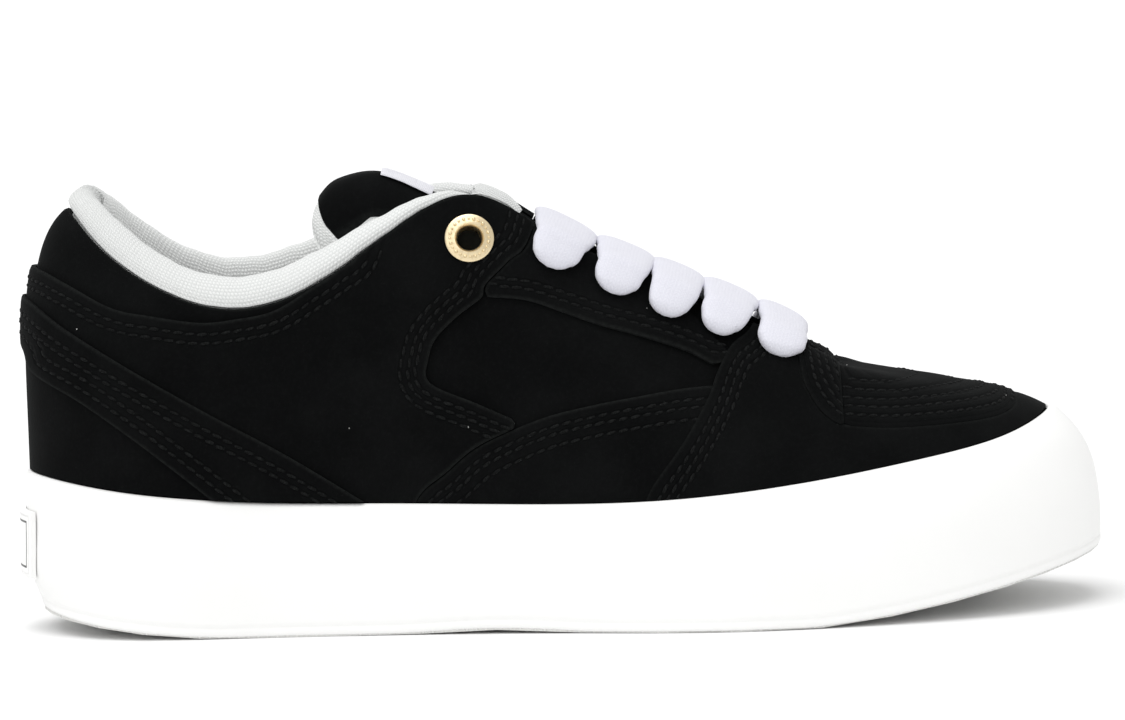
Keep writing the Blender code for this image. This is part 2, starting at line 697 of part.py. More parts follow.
def punched_holes():
    """Hidden pins that punch the lace holes and the bores of the top eyelets."""
    bm = bmesh.new()
    for side in (-1, 1):
        for x in LACE_X:
            s = station_at(x, side)
            s, h = below_edge(s, HOLE_DEPTH)
            cylinder(bm, wall(s, h), wall_frame(s, h)[0], HOLE_DIAMETER, -HOLE_REACH, HOLE_REACH, HOLE_SIDES)
        s, h = eyelet_place(side)
        bore = EYELET_TUBE + 2 * GAP
        cylinder(bm, wall(s, h), wall_frame(s, h)[0], bore, -2 * HOLE_REACH, HOLE_REACH)
    return hide(finish("punched_holes", bm, "suede"))


def eyelet_place(side):
    """Station and level of the top eyelet on one side."""
    s = station_at(EYELET_X, side)
    return s, level_below(s, EYELET_DEPTH)


def eyelets():
    """Turned metal rings: a flange on the quarter and a tube through the wall."""
    for side, name in ((-1, "eyelet_lateral"), (1, "eyelet_medial")):
        s, h = eyelet_place(side)
        normal = Vector(wall_frame(s, h)[0])
        seat = GAP + QUARTER_THICKNESS + GAP
        crown = seat + EYELET_FLANGE
        profile = [
            (EYELET_BORE / 2, -WALL), (EYELET_TUBE / 2, -WALL), (EYELET_TUBE / 2, seat),
            (EYELET_OUTER / 2, seat), (EYELET_OUTER / 2, seat + EYELET_FLANGE * 0.4),
            ((EYELET_OUTER + EYELET_TUBE) / 4, crown), (EYELET_BORE / 2 + EYELET_FLANGE * 0.6, crown * 0.98),
            (EYELET_BORE / 2, seat + EYELET_FLANGE * 0.3),
        ]
        turns = np.linspace(0, 2 * math.pi, EYELET_TURNS, endpoint=False)
        sections = [[(r * math.cos(a), r * math.sin(a), z) for r, z in profile] for a in turns]
        body = ring_solid(name, np.array(sections), "brass")
        turn = normal.to_track_quat("Z", "Y").to_matrix().to_4x4()
        body.matrix_world = Matrix.Translation(Vector(wall(s, h))) @ turn


def collar_lining():
    """Padded roll over the collar's edge, with the lining that runs down inside it."""
    ends = [station_at(COLLAR_END_X, 1) - 1, station_at(COLLAR_END_X, -1)]
    reach = (RING > 0.5) * -1.0 + RING
    order = np.argsort(reach)
    chosen = [i for i in order if ends[0] < reach[i] < ends[1]]
    s = RING[chosen]
    climb = levels(BAND_LEVEL[:, None])[chosen]
    value = SECTION_AT(s)
    roll, pad = value[:, 10], value[:, 11]
    normal, up = wall_frame(s, np.ones_like(s))
    edge = wall(s, np.ones_like(s))
    behind = WALL + LINING_GAP
    lip = 0.15 * WALL
    centre = -(lip + behind + pad) / 2
    half = (behind + pad - lip) / 2

    def rim_point(across, height):
        return edge + across[:, None] * normal + height[:, None] * up

    sections = [
        wall(s, climb[:, -3], -behind),
        wall(s, climb[:, -2], -behind),
        rim_point(np.full_like(s, -behind), np.full_like(s, LINING_GAP)),
        rim_point(np.full_like(s, -lip), np.full_like(s, LINING_GAP)),
    ]
    for angle in np.radians([35, 75, 115, 155]):
        sections.append(rim_point(centre + half * math.cos(angle), LINING_GAP + roll * math.sin(angle)))
    normal_low, _ = wall_frame(s, climb[:, -2])
    sections.append(wall_point(s, climb[:, -2]) - (behind + 0.95 * pad)[:, None] * normal_low)
    normal_end, _ = wall_frame(s, climb[:, -3])
    sections.append(wall_point(s, climb[:, -3]) - (behind + 0.30 * pad)[:, None] * normal_end)
    bm = bmesh.new()
    patch(bm, closed(np.stack(sections, axis=1), 1))
    bmesh.ops.remove_doubles(bm, verts=bm.verts, dist=2e-6)
    bmesh.ops.holes_fill(bm, edges=bm.edges, sides=0)
    body = finish("collar_lining", bm, "lining")
    cut(body, HOLES, "DIFFERENCE")


def curve_through(points, count):
    """Evenly spread points on a Catmull-Rom curve through a few points."""
    fine = np.array(smooth_line(points, 12))
    run = np.concatenate([[0.0], np.cumsum(np.linalg.norm(np.diff(fine, axis=0), axis=1))])
    want = np.linspace(0, run[-1], count)
    return np.stack([np.interp(want, run, fine[:, k]) for k in range(fine.shape[1])], axis=1)


def tongue_table():
    """Tongue sections in metres, with the direction square to each, and the rows that lie under the label."""
    rows = [(ORIGIN_X + r.x * SOLE_LENGTH, r.z * HEEL_HEIGHT, r.half * HALF_WIDTH, r.drop * HEEL_HEIGHT,
             r.thick * TONGUE_THICKNESS) for r in TONGUE]
    fine = np.array(smooth_line(rows, 12))
    length = np.concatenate([[0.0], np.cumsum(np.linalg.norm(np.diff(fine[:, :2], axis=0), axis=1))])
    label_end = length[-1] - LABEL_FROM_TOP
    label_start = label_end - LABEL_LENGTH
    below = np.linspace(0, label_start, 12)
    label = np.linspace(label_start, label_end, 4)
    want = np.concatenate([below[:-1], label, np.linspace(label_end, length[-1], 5)[1:]])
    run = np.gradient(fine[:, :2], axis=0)
    run = run / np.linalg.norm(run, axis=1, keepdims=True)
    square = np.stack([run[:, 1], -run[:, 0]], axis=1)
    both = np.concatenate([fine, square], axis=1)
    table = np.stack([np.interp(want, length, both[:, k]) for k in range(7)], axis=1)
    under_label = slice(len(below) - 1, len(below) - 1 + len(label))
    return table, under_label


def tongue_face(table, across, below):
    """Points of the tongue: across runs from -1 to 1 over its width, below is a share of its thickness."""
    x, z, half, drop, thick, square_x, square_z = (table[:, k, None] for k in range(7))
    down = drop * across**2 + thick * below
    return np.stack([x - square_x * down, np.broadcast_to(half * across, down.shape),
                     z - square_z * down], axis=-1)


def tongue_columns(table, under_label):
    """Columns across the tongue: seven over the label's width and one at each edge."""
    share = LABEL_WIDTH / 2 / table[under_label, 2].min()
    return np.concatenate([[-1.0], np.linspace(-share, share, 7), [1.0]])[None, :]


def tongue_and_label():
    """Padded tongue, bowed over the instep and rounded at its sides, with a blank woven label near its top."""
    table, under_label = tongue_table()
    across = tongue_columns(table, under_label)
    rim = 0.5 * across**6
    strip_solid("tongue", tongue_face(table, across, rim), tongue_face(table, across, 1 - rim * 0.8), "suede")
    table = table[under_label]
    across = across[:, 1:-1]
    rim = rim[:, 1:-1]
    base = tongue_face(table, across, rim - GAP / table[:, 4:5])
    face = tongue_face(table, across, rim - (GAP + LABEL_THICKNESS) / table[:, 4:5])
    strip_solid("tongue_label", face, base, "label")


def lace_bar(name, x):
    """A flat padded lace: resting on both eyestays at its ends and bowed across the tongue."""
    seat = GAP + EYESTAY_THICKNESS + LACE_THICKNESS / 2
    route, width = [], []
    for side in (-1, 1):
        s = station_at(x, side)
        for share, clearance in LACE_LIFTS:
            t, h = below_edge(s, LACE_REACH * share)
            route.append(wall(t, h, seat + clearance))
            along = wall_point(t + 0.002, h) - wall_point(t - 0.002, h)
            width.append(-side * along / np.linalg.norm(along))
    middle = (route[2] + route[5]) / 2 + [0, 0, LACE_CLEARANCE]
    route = [*route[:3], middle, *route[:2:-1]]
    width = [*width[:3], (width[2] + width[5]) / 2, *width[:2:-1]]
    table = curve_through(np.concatenate([route, width], axis=1), BAR_STEPS)
    run = np.gradient(table[:, :3], axis=0)
    run = run / np.linalg.norm(run, axis=1, keepdims=True)
    across = table[:, 3:] - np.sum(table[:, 3:] * run, axis=1, keepdims=True) * run
    across = across / np.linalg.norm(across, axis=1, keepdims=True)
    out = np.cross(across, run)
    end = np.minimum(np.arange(BAR_STEPS), np.arange(BAR_STEPS)[::-1])
    grow = np.interp(end, [0, 1, 2], [0.62, 0.93, 1.0])
    sections = []
    for angle in np.radians(np.arange(22.5, 360, 45)):
        u = math.copysign(abs(math.cos(angle)) ** 0.7, math.cos(angle))
        v = math.copysign(abs(math.sin(angle)) ** 0.8, math.sin(angle))
        sections.append(table[:, :3] + across * (u * grow * LACE_WIDTH / 2)[:, None]
                        + out * (v * np.sqrt(grow) * LACE_THICKNESS / 2)[:, None])
    bm = bmesh.new()
    patch(bm, closed(np.stack(sections, axis=1), 1))
    bmesh.ops.remove_doubles(bm, verts=bm.verts, dist=2e-6)
    bmesh.ops.holes_fill(bm, edges=bm.edges, sides=0)
    finish(name, bm, "lace", 50)


def panels():
    """All overlays, each cut from its own shell by prisms drawn in side view."""
    far = 0.3
    under = [(far, -far), (-far, -far)]
    finger = seam(SIDE_PANEL_TOP[:FINGER_POINTS], dz=SEAM_GAP)
    quarter_shape = seam(QUARTER_FRONT) + finger[::-1] + [under[1]] + seam(QUARTER_TOP)
    overlay("quarter", GAP, GAP + QUARTER_THICKNESS,
            [(side_prism("quarter_shape", quarter_shape), "INTERSECT")], holes=True)
    strap_low = 2 * GAP + QUARTER_THICKNESS
    strap_shape = seam(STRAP_LOW) + seam(STRAP_HIGH)[::-1]
    overlay("heel_strap", strap_low, strap_low + STRAP_THICKNESS,
            [(side_prism("strap_shape", strap_shape), "INTERSECT")])
    rear = seam(VAMP_REAR, dx=-SEAM_GAP)
    side_top = seam(SIDE_PANEL_TOP)
    side_shape = side_top + [p for p in rear if p[1] < side_top[-1][1]][::-1]
    low = seam(EYESTAY_LOW, dx=SEAM_GAP)
    above = [p for p in rear if p[1] > low[-1][1]]
    front = [p for p in seam(QUARTER_FRONT, dx=SEAM_GAP) if p[1] > low[0][1] + SEAM_GAP]
    eyestay_shape = low + above + [(above[-1][0], far)] + [(front[0][0], far)] + front
    for side, low_y, high_y in (("lateral", -SOLE_WIDTH, 0.0), ("medial", 0.0, SOLE_WIDTH)):
        overlay(f"side_panel_{side}", GAP, GAP + SIDE_PANEL_THICKNESS,
                [(side_prism(f"side_shape_{side}", side_shape, low_y, high_y), "INTERSECT")])
        overlay(f"eyestay_{side}", GAP, GAP + EYESTAY_THICKNESS,
                [(side_prism(f"eyestay_shape_{side}", eyestay_shape, low_y, high_y), "INTERSECT")], holes=True)
    toe_edge = seam(TOE_PANEL_EDGE)
    vamp_shape = seam(VAMP_REAR) + toe_edge + [(far, toe_edge[-1][1]), (far, -far)]
    overlay("vamp", GAP, GAP + VAMP_THICKNESS, [(side_prism("vamp_shape", vamp_shape), "INTERSECT")])
    tab_x = ORIGIN_X + TAB_SEAM * SOLE_LENGTH
    raised = shifted(toe_edge, dz=SEAM_GAP)
    tab_z = float(np.interp(tab_x, *zip(*raised)))
    ahead = [p for p in raised[:-1] if p[0] > tab_x] + [(toe_edge[-1][0] - SEAM_GAP, far)]
    behind = [p for p in raised if p[0] < tab_x - SEAM_GAP]
    toe_shape = [(tab_x, far), (tab_x, tab_z)] + ahead
    tab_shape = behind + [(tab_x - SEAM_GAP, tab_z), (tab_x - SEAM_GAP, far), (behind[0][0], far)]
    overlay("toe_panel", GAP, GAP + TOE_PANEL_THICKNESS, [(side_prism("toe_shape", toe_shape), "INTERSECT")])
    overlay("throat_tab", GAP, GAP + THROAT_TAB_THICKNESS, [(side_prism("tab_shape", tab_shape), "INTERSECT")])
    turns = np.radians(np.arange(0, 360, 12))
    cover_shape = [(ORIGIN_X + (COVER_X + COVER_HALF_LENGTH * math.cos(a)) * SOLE_LENGTH,
                    COVER_HALF_WIDTH * SOLE_LENGTH * math.sin(a)) for a in turns]
    cover_low = 2 * GAP + TOE_PANEL_THICKNESS
    above_band = 0.42 * HEEL_HEIGHT
    overlay("toe_cover", cover_low, cover_low + TOE_COVER_THICKNESS,
            [(cutter("cover_shape", cover_shape, lambda u, v, w: (u, v, w), above_band, far), "INTERSECT")])


for old in list(bpy.data.objects):
    bpy.data.objects.remove(old, do_unlink=True)

HOLES = punched_holes()
outsole()
midsole()
foxing()
heel_patch()
insole()
upper()
panels()
collar_lining()
tongue_and_label()
eyelets()
for number, lace_x in enumerate(LACE_X, 1):
    lace_bar(f"lace_bar_{number}", lace_x)
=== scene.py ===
"""Looks of a low skateboarding shoe for the right foot: black suede sewn over a white vulcanised sole.

Metres, +Z up, +X towards the toe and -Y towards the outer side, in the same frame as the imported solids.
Every layer of the upper is worked out from one surface, ShoeForm.wall, whose sizes repeat those of the
part's source.
"""

import logging
import math
import random
from collections.abc import Iterable, Sequence
from dataclasses import dataclass, field
from enum import Enum

import bmesh
import bpy
import numpy as np
from mathutils import Matrix, Vector


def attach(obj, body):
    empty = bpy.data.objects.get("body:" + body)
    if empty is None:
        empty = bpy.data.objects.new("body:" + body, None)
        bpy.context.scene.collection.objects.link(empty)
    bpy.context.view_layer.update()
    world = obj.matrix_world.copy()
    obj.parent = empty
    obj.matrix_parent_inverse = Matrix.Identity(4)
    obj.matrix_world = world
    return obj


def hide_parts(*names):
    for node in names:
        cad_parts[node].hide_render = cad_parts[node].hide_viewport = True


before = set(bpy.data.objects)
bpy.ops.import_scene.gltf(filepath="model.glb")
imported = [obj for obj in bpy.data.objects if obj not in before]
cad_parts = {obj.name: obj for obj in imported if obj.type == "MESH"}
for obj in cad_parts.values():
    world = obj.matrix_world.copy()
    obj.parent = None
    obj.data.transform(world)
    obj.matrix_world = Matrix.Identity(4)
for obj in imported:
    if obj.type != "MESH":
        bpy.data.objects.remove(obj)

logging.basicConfig(level=logging.INFO, format="%(message)s")
LOG = logging.getLogger("shoe")
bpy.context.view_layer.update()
BODY = "root"
MM = 0.001
TINY = 1e-4


@dataclass(frozen=True)
class Section:
    """One section of the shoe, from the back of the heel round either side to the tip of the toe."""

    foot_x: float
    foot_out: float
    foot_inn: float
    top_x: float
    top_out: float
    top_inn: float
    top_z: float
    rise: float
    flare: float
    reach: float
    droop: float
    fox: float
    roll: float
    pad: float


SECTIONS = (
    Section(0.0000, 0.019, -0.019, 0.0476, 0.009, -0.009, 1.000, 0.507, -1.5, 0.165, 36, 1.243, 1.30, 1.00),
    Section(0.0255, 0.426, 0.389, 0.0595, 0.213, 0.194, 0.970, 0.480, -2.5, 0.163, 40, 1.214, 1.25, 1.00),
    Section(0.0918, 0.676, 0.648, 0.0901, 0.403, 0.380, 0.892, 0.437, -3.0, 0.200, 58, 1.134, 1.05, 1.00),
    Section(0.2040, 0.731, 0.685, 0.1735, 0.537, 0.519, 0.776, 0.262, -3.0, 0.227, 74, 1.040, 1.00, 0.97),
    Section(0.3540, 0.769, 0.657, 0.2925, 0.528, 0.509, 0.838, 0.279, -5.0, 0.262, 72, 0.997, 0.97, 0.90),
    Section(0.4966, 0.870, 0.759, 0.4050, 0.426, 0.407, 1.008, 0.314, -6.0, 0.297, 62, 0.971, 0.36, 0.50),
    Section(0.6259, 1.000, 0.944, 0.4830, 0.343, 0.324, 0.925, 0.297, -4.0, 0.262, 50, 1.000, 0.25, 0.34),
    Section(0.7483, 0.950, 1.000, 0.5782, 0.287, 0.278, 0.803, 0.262, -2.0, 0.245, 42, 1.080, 0.25, 0.34),
    Section(0.8571, 0.775, 0.930, 0.6735, 0.241, 0.241, 0.680, 0.270, -1.0, 0.262, 32, 1.200, 0.25, 0.34),
    Section(0.9388, 0.520, 0.770, 0.7194, 0.194, 0.204, 0.603, 0.305, -1.0, 0.297, 22, 1.314, 0.25, 0.34),
    Section(0.9847, 0.215, 0.500, 0.7364, 0.083, 0.120, 0.573, 0.335, -1.5, 0.332, 17, 1.414, 0.25, 0.34),
    Section(1.0000, -0.148, 0.148, 0.7408, -0.019, 0.019, 0.566, 0.345, -1.5, 0.349, 15, 1.451, 0.25, 0.34),
)


def smooth_line(points: Sequence[Sequence[float]], steps: int = 6) -> np.ndarray:
    """Round a line of points with a Catmull-Rom curve.

    Args:
        points: Points of any number of columns.
        steps: Steps between two points.

    Returns:
        The points of the curve, ends included.
    """
    p = np.array(points, dtype=float)
    p = np.concatenate([[2 * p[0] - p[1]], p, [2 * p[-1] - p[-2]]])
    t = np.arange(steps)[:, None] / steps
    runs = [0.5 * (2 * b + (c - a) * t + (2 * a - 5 * b + 4 * c - d) * t**2 + (3 * b - a - 3 * c + d) * t**3)
            for a, b, c, d in zip(p[:-3], p[1:-2], p[2:-1], p[3:])]
    return np.concatenate(runs + [p[-2:-1]])


def evenly(points: np.ndarray, count: int, columns: int = 3) -> np.ndarray:
    """Spread a number of points evenly along a line.

    Args:
        points: The line, as rows of any number of columns.
        count: How many points to make.
        columns: How many of the first columns count as the length.

    Returns:
        The new points, with as many columns.
    """
    run = np.concatenate([[0.0], np.cumsum(np.linalg.norm(np.diff(points[:, :columns], axis=0), axis=1))])
    want = np.linspace(0, run[-1], count)
    return np.stack([np.interp(want, run, points[:, k]) for k in range(points.shape[1])], axis=1)


def unit(vectors: np.ndarray) -> np.ndarray:
    """Scale vectors to length 1."""
    return vectors / np.maximum(np.linalg.norm(vectors, axis=-1, keepdims=True), 1e-12)


def girths(table: np.ndarray) -> np.ndarray:
    """Distance of each point from the first of its section, along the section."""
    steps = np.cumsum(np.linalg.norm(np.diff(table, axis=1), axis=2), axis=1)
    return np.concatenate([np.zeros((len(table), 1)), steps], axis=1)


@dataclass
class ShoeForm:
    """The shoe's own surface and the sizes that all its layers share."""

    sole_length: float = 0.294
    sole_width: float = 0.108
    heel_height: float = 0.1145
    foxing_height: float = 0.0350
    feather: float = 0.0106
    band: float = 0.0030
    toe_spring: float = 0.0145
    heel_kick: float = 0.0065
    arch_rise: float = 0.0010
    heel_tuck: float = 0.0035
    foxing_foot: float = 0.0016
    collar_roll: float = 0.0072
    collar_pad: float = 0.0076
    origin_x: float = -0.146
    gap: float = 0.0003
    knots: np.ndarray = field(init=False)
    table: np.ndarray = field(init=False)
    bend: np.ndarray = field(init=False)
    perimeter: float = field(init=False)

    def __post_init__(self) -> None:
        """Fit the smooth curves round the shoe through the sections."""
        outer = np.array([self.section(row, -1) for row in SECTIONS])
        inner = np.array([self.section(row, 1) for row in SECTIONS])
        steps = (np.linalg.norm(np.diff(outer[:, :2], axis=0), axis=1)
                 + np.linalg.norm(np.diff(inner[:, :2], axis=0), axis=1))
        along = np.concatenate([[0.0], np.cumsum(steps)]) / steps.sum() / 2
        self.knots = np.concatenate([along, 1 - along[-2:0:-1]])
        self.table = np.concatenate([outer, inner[-2:0:-1]])
        step = np.diff(np.append(self.knots, 1.0))
        slope = (np.roll(self.table, -1, axis=0) - self.table) / step[:, None]
        count = len(self.knots)
        matrix = np.zeros((count, count))
        for i in range(count):
            matrix[i, i - 1] += step[i - 1]
            matrix[i, i] += 2 * (step[i - 1] + step[i])
            matrix[i, (i + 1) % count] += step[i]
        self.bend = np.linalg.solve(matrix, 6 * (slope - np.roll(slope, 1, axis=0)))
        ring = self.outline(np.linspace(0, 1, 721))[0]
        self.perimeter = float(np.linalg.norm(np.diff(ring, axis=0), axis=1).sum())

    def section(self, row: Section, side: int) -> list[float]:
        """Give one section's sizes in metres.

        Args:
            row: The section's shares.
            side: -1 on the outer side, 1 on the inner side.

        Returns:
            Foot x and y, top x, y and z, rise, flare, reach, droop, band top, collar roll and collar pad.
        """
        half = self.sole_width / 2
        foot, top = (row.foot_out, row.top_out) if side < 0 else (row.foot_inn, row.top_inn)
        return [
            self.origin_x + row.foot_x * self.sole_length, side * foot * half,
            self.origin_x + row.top_x * self.sole_length, side * top * half, row.top_z * self.heel_height,
            row.rise * self.heel_height, math.radians(row.flare), row.reach * self.heel_height,
            math.radians(row.droop), row.fox * self.foxing_height, row.roll * self.collar_roll,
            row.pad * self.collar_pad,
        ]

    def values(self, s: np.ndarray) -> np.ndarray:
        """Read the smooth section table.

        Args:
            s: Stations round the shoe, which repeat every 1.

        Returns:
            The twelve sizes at each station.
        """
        s = np.mod(np.asarray(s, dtype=float), 1.0)
        step = np.diff(np.append(self.knots, 1.0))
        i = np.clip(np.searchsorted(self.knots, s, side="right") - 1, 0, len(self.knots) - 1)
        after = np.roll(np.arange(len(self.knots)), -1)[i]
        h = step[i][..., None]
        b = (s - self.knots[i])[..., None] / h
        a = 1 - b
        curved = (a**3 - a) * self.bend[i] + (b**3 - b) * self.bend[after]
        return a * self.table[i] + b * self.table[after] + curved * h**2 / 6

    def ground(self, x: np.ndarray) -> np.ndarray:
        """Height of the sole's underside above the floor."""
        u = (np.asarray(x) - self.origin_x) / self.sole_length
        heel = self.heel_kick * np.clip(1 - u / 0.19, 0, None) ** 1.6
        arch = self.arch_rise * np.sin(np.pi * np.clip((u - 0.33) / 0.21, 0, 1)) ** 2
        return heel + arch + self.toe_spring * np.clip((u - 0.71) / 0.29, 0, None) ** 1.5

    def outline(self, s: np.ndarray, inset: float = 0.0) -> tuple[np.ndarray, np.ndarray]:
        """Follow the sole's outline in plan.

        Args:
            s: Stations.
            inset: How far the points move inwards.

        Returns:
            The points and the outward directions there.
        """
        s = np.asarray(s, dtype=float)
        run = unit(self.values(s + TINY)[..., :2] - self.values(s - TINY)[..., :2])
        outward = np.stack([run[..., 1], -run[..., 0]], axis=-1)
        return self.values(s)[..., :2] - inset * outward, outward

    def tucked(self, s: np.ndarray, height: float) -> np.ndarray:
        """Draw the sole in at the back of the heel.

        Args:
            s: Stations.
            height: Height above the underside, where less is drawn in with more height.

        Returns:
            The shift of each point in plan.
        """
        outward = self.outline(s)[1]
        share = 1 - (height - self.foxing_foot) / (self.feather - self.foxing_foot)
        turn = np.clip(-outward[..., 0], 0, 1) ** 2 * (np.cos(2 * math.pi * s) > 0)
        return -outward * (self.heel_tuck * turn * min(max(share, 0.0), 1.0))[..., None]

    def raised(self, plan: np.ndarray, z: np.ndarray) -> np.ndarray:
        """Put plan points at a height."""
        return np.concatenate([plan, np.broadcast_to(z, plan.shape[:-1])[..., None]], axis=-1)

    def point(self, s: np.ndarray, h: np.ndarray) -> np.ndarray:
        """Find points of the wall.

        Args:
            s: Stations.
            h: Levels, from 0 at the feather edge to 1 at the edge of collar and throat.

        Returns:
            The points.
        """
        s, h = np.broadcast_arrays(np.asarray(s, dtype=float), np.asarray(h, dtype=float))
        value = self.values(s)
        plan, outward = self.outline(s, self.band)
        foot = self.raised(plan, self.ground(plan[..., 0]) + self.feather)
        top = value[..., 2:5]
        rise, flare, reach, droop = (value[..., k, None] for k in range(5, 9))
        lean = unit(plan - top[..., :2])
        low = foot + rise * np.concatenate([np.sin(flare) * outward, np.cos(flare)], axis=-1)
        high = top + reach * np.concatenate([np.cos(droop) * lean, -np.sin(droop)], axis=-1)
        h = h[..., None]
        return (1 - h) ** 3 * foot + 3 * h * (1 - h) ** 2 * low + 3 * h**2 * (1 - h) * high + h**3 * top

    def axes(self, s: np.ndarray, h: np.ndarray) -> tuple[np.ndarray, np.ndarray]:
        """Outward normals and upward tangents of the wall at stations and levels."""
        s = np.asarray(s, dtype=float)
        h = np.clip(h, TINY, 1 - TINY)
        along = self.point(s + TINY, h) - self.point(s - TINY, h)
        up = unit(self.point(s, h + TINY) - self.point(s, h - TINY))
        return unit(np.cross(along, up)), up

    def wall(self, s: np.ndarray, h: np.ndarray, offset: float | np.ndarray = 0.0) -> np.ndarray:
        """The wall's surface moved outwards by an offset."""
        return self.point(s, h) + np.asarray(offset)[..., None] * self.axes(s, h)[0]

    def level_of(self, s: np.ndarray, z: np.ndarray) -> np.ndarray:
        """Find the level at which the wall reaches a height.

        Args:
            s: Stations.
            z: The height at each station.

        Returns:
            The level at each station.
        """
        low, high = np.zeros_like(s), np.full_like(s, 0.8)
        for _ in range(24):
            middle = (low + high) / 2
            below = self.point(s, middle)[..., 2] < z
            low, high = np.where(below, middle, low), np.where(below, high, middle)
        return (low + high) / 2

    def band_top(self, s: np.ndarray) -> np.ndarray:
        """Height of the white band's upper edge."""
        return self.values(s)[..., 9]

    def station_at(self, x: float, side: int) -> float:
        """The station where the collar's or throat's edge passes x, a share of the length, on one side."""
        s = np.linspace(0.12, 0.49, 371)
        s = s if side < 0 else 1 - s
        return float(np.interp(self.origin_x + x * self.sole_length, self.point(s, 1.0)[:, 0], s))

    def level_below(self, s: float, depth: float) -> float:
        """The level that lies depth below the wall's edge at a station."""
        h = np.linspace(0.4, 1.0, 241)
        points = self.point(np.full_like(h, s), h)
        steps = np.linalg.norm(np.diff(points, axis=0), axis=1)
        down = np.concatenate([np.cumsum(steps[::-1])[::-1], [0.0]])
        return float(np.interp(depth, down[::-1], h[::-1]))

    def below_edge(self, s: float, depth: float) -> tuple[float, float]:
        """Go down from the throat's edge, square to it.

        Args:
            s: Station on the edge.
            depth: How far to go.

        Returns:
            Station and level of the point.
        """
        edge = self.point(s, 1.0)
        along = self.point(s + 0.002, 1.0) - self.point(s - 0.002, 1.0)
        pace = float(np.linalg.norm(along)) / 0.004
        along = unit(along)
        t = s
        for _ in range(6):
            t -= float((self.point(t, self.level_below(t, depth)) - edge) @ along) / pace
        return t, self.level_below(t, depth)


FORM = ShoeForm()


class Seam(Enum):
    """Seams in side view: x as a share of the length from the heel, z as a share of the heel's height."""

    QUARTER_TOP = (
        (-0.050, 0.873), (0.011, 0.865), (0.049, 0.830), (0.093, 0.774), (0.129, 0.753), (0.172, 0.736),
        (0.205, 0.742), (0.240, 0.759), (0.274, 0.808), (0.300, 0.850), (0.322, 0.905), (0.345, 1.150),
    )
    QUARTER_FRONT = (
        (0.500, 1.150), (0.475, 0.915), (0.454, 0.858), (0.433, 0.806), (0.430, 0.779), (0.407, 0.736),
        (0.387, 0.686), (0.380, 0.641), (0.380, 0.584), (0.421, 0.535), (0.457, 0.493),
    )
    FINGER = ((0.350, 0.200), (0.367, 0.314), (0.393, 0.371), (0.420, 0.427), (0.456, 0.471))
    SIDE_PANEL_TOP = (
        (0.350, 0.200), (0.367, 0.314), (0.393, 0.371), (0.420, 0.427), (0.456, 0.471), (0.488, 0.501),
        (0.522, 0.521), (0.556, 0.537), (0.602, 0.553), (0.634, 0.558),
    )
    EYESTAY_LOW = (
        (0.430, 0.779), (0.468, 0.769), (0.500, 0.741), (0.535, 0.707), (0.573, 0.676), (0.614, 0.638),
        (0.636, 0.606),
    )
    VAMP_REAR = (
        (0.560, 0.200), (0.574, 0.305), (0.584, 0.351), (0.609, 0.435), (0.633, 0.534), (0.643, 0.592),
        (0.656, 0.644), (0.675, 0.678), (0.692, 0.750), (0.700, 0.860),
    )
    STRAP_HIGH = (
        (-0.050, 0.820), (0.003, 0.796), (0.048, 0.726), (0.114, 0.624), (0.181, 0.522), (0.247, 0.426),
        (0.325, 0.300),
    )
    STRAP_LOW = (
        (-0.050, 0.720), (0.001, 0.675), (0.013, 0.622), (0.058, 0.561), (0.104, 0.480), (0.148, 0.391),
        (0.205, 0.270),
    )
    TOE_EDGE = (
        (0.715, 0.860), (0.718, 0.600), (0.727, 0.522), (0.741, 0.476), (0.756, 0.456), (0.793, 0.445),
        (0.829, 0.444), (0.862, 0.446), (0.889, 0.451), (0.908, 0.460), (0.920, 0.480), (0.927, 0.540),
        (0.931, 0.720),
    )

    def line(self, dx: float = 0.0, dz: float = 0.0) -> list[tuple[float, float]]:
        """The rounded seam in metres, moved by a gap."""
        points = [(FORM.origin_x + x * FORM.sole_length + dx, z * FORM.heel_height + dz)
                  for x, z in self.value]
        return [tuple(p) for p in smooth_line(points)]


class Zone:
    """A region of the side view inside a closed line."""

    def __init__(self, corners: Sequence[tuple[float, float]], flat: bool = False) -> None:
        """Keep the corners; flat means that the line is drawn in plan instead of in side view."""
        self.corners = np.array(corners)
        self.flat = flat

    def depth(self, points: np.ndarray) -> np.ndarray:
        """Measure how far inside the line points lie, as seen square to its plane.

        Args:
            points: Points in metres.

        Returns:
            Their distances from the line, negative outside it.
        """
        x = points[..., 0].ravel()
        z = points[..., 1 if self.flat else 2].ravel()
        best = np.full(x.shape, np.inf)
        crossings = np.zeros(x.shape, dtype=int)
        for (ax, az), (bx, bz) in zip(self.corners, np.roll(self.corners, -1, axis=0)):
            dx, dz = bx - ax, bz - az
            t = np.clip(((x - ax) * dx + (z - az) * dz) / max(dx * dx + dz * dz, 1e-18), 0, 1)
            best = np.minimum(best, (x - ax - t * dx) ** 2 + (z - az - t * dz) ** 2)
            if az != bz:
                crossings += ((az > z) != (bz > z)) & (x < ax + (z - az) / (bz - az) * dx)
        return (np.where(crossings % 2, 1.0, -1.0) * np.sqrt(best)).reshape(points.shape[:-1])


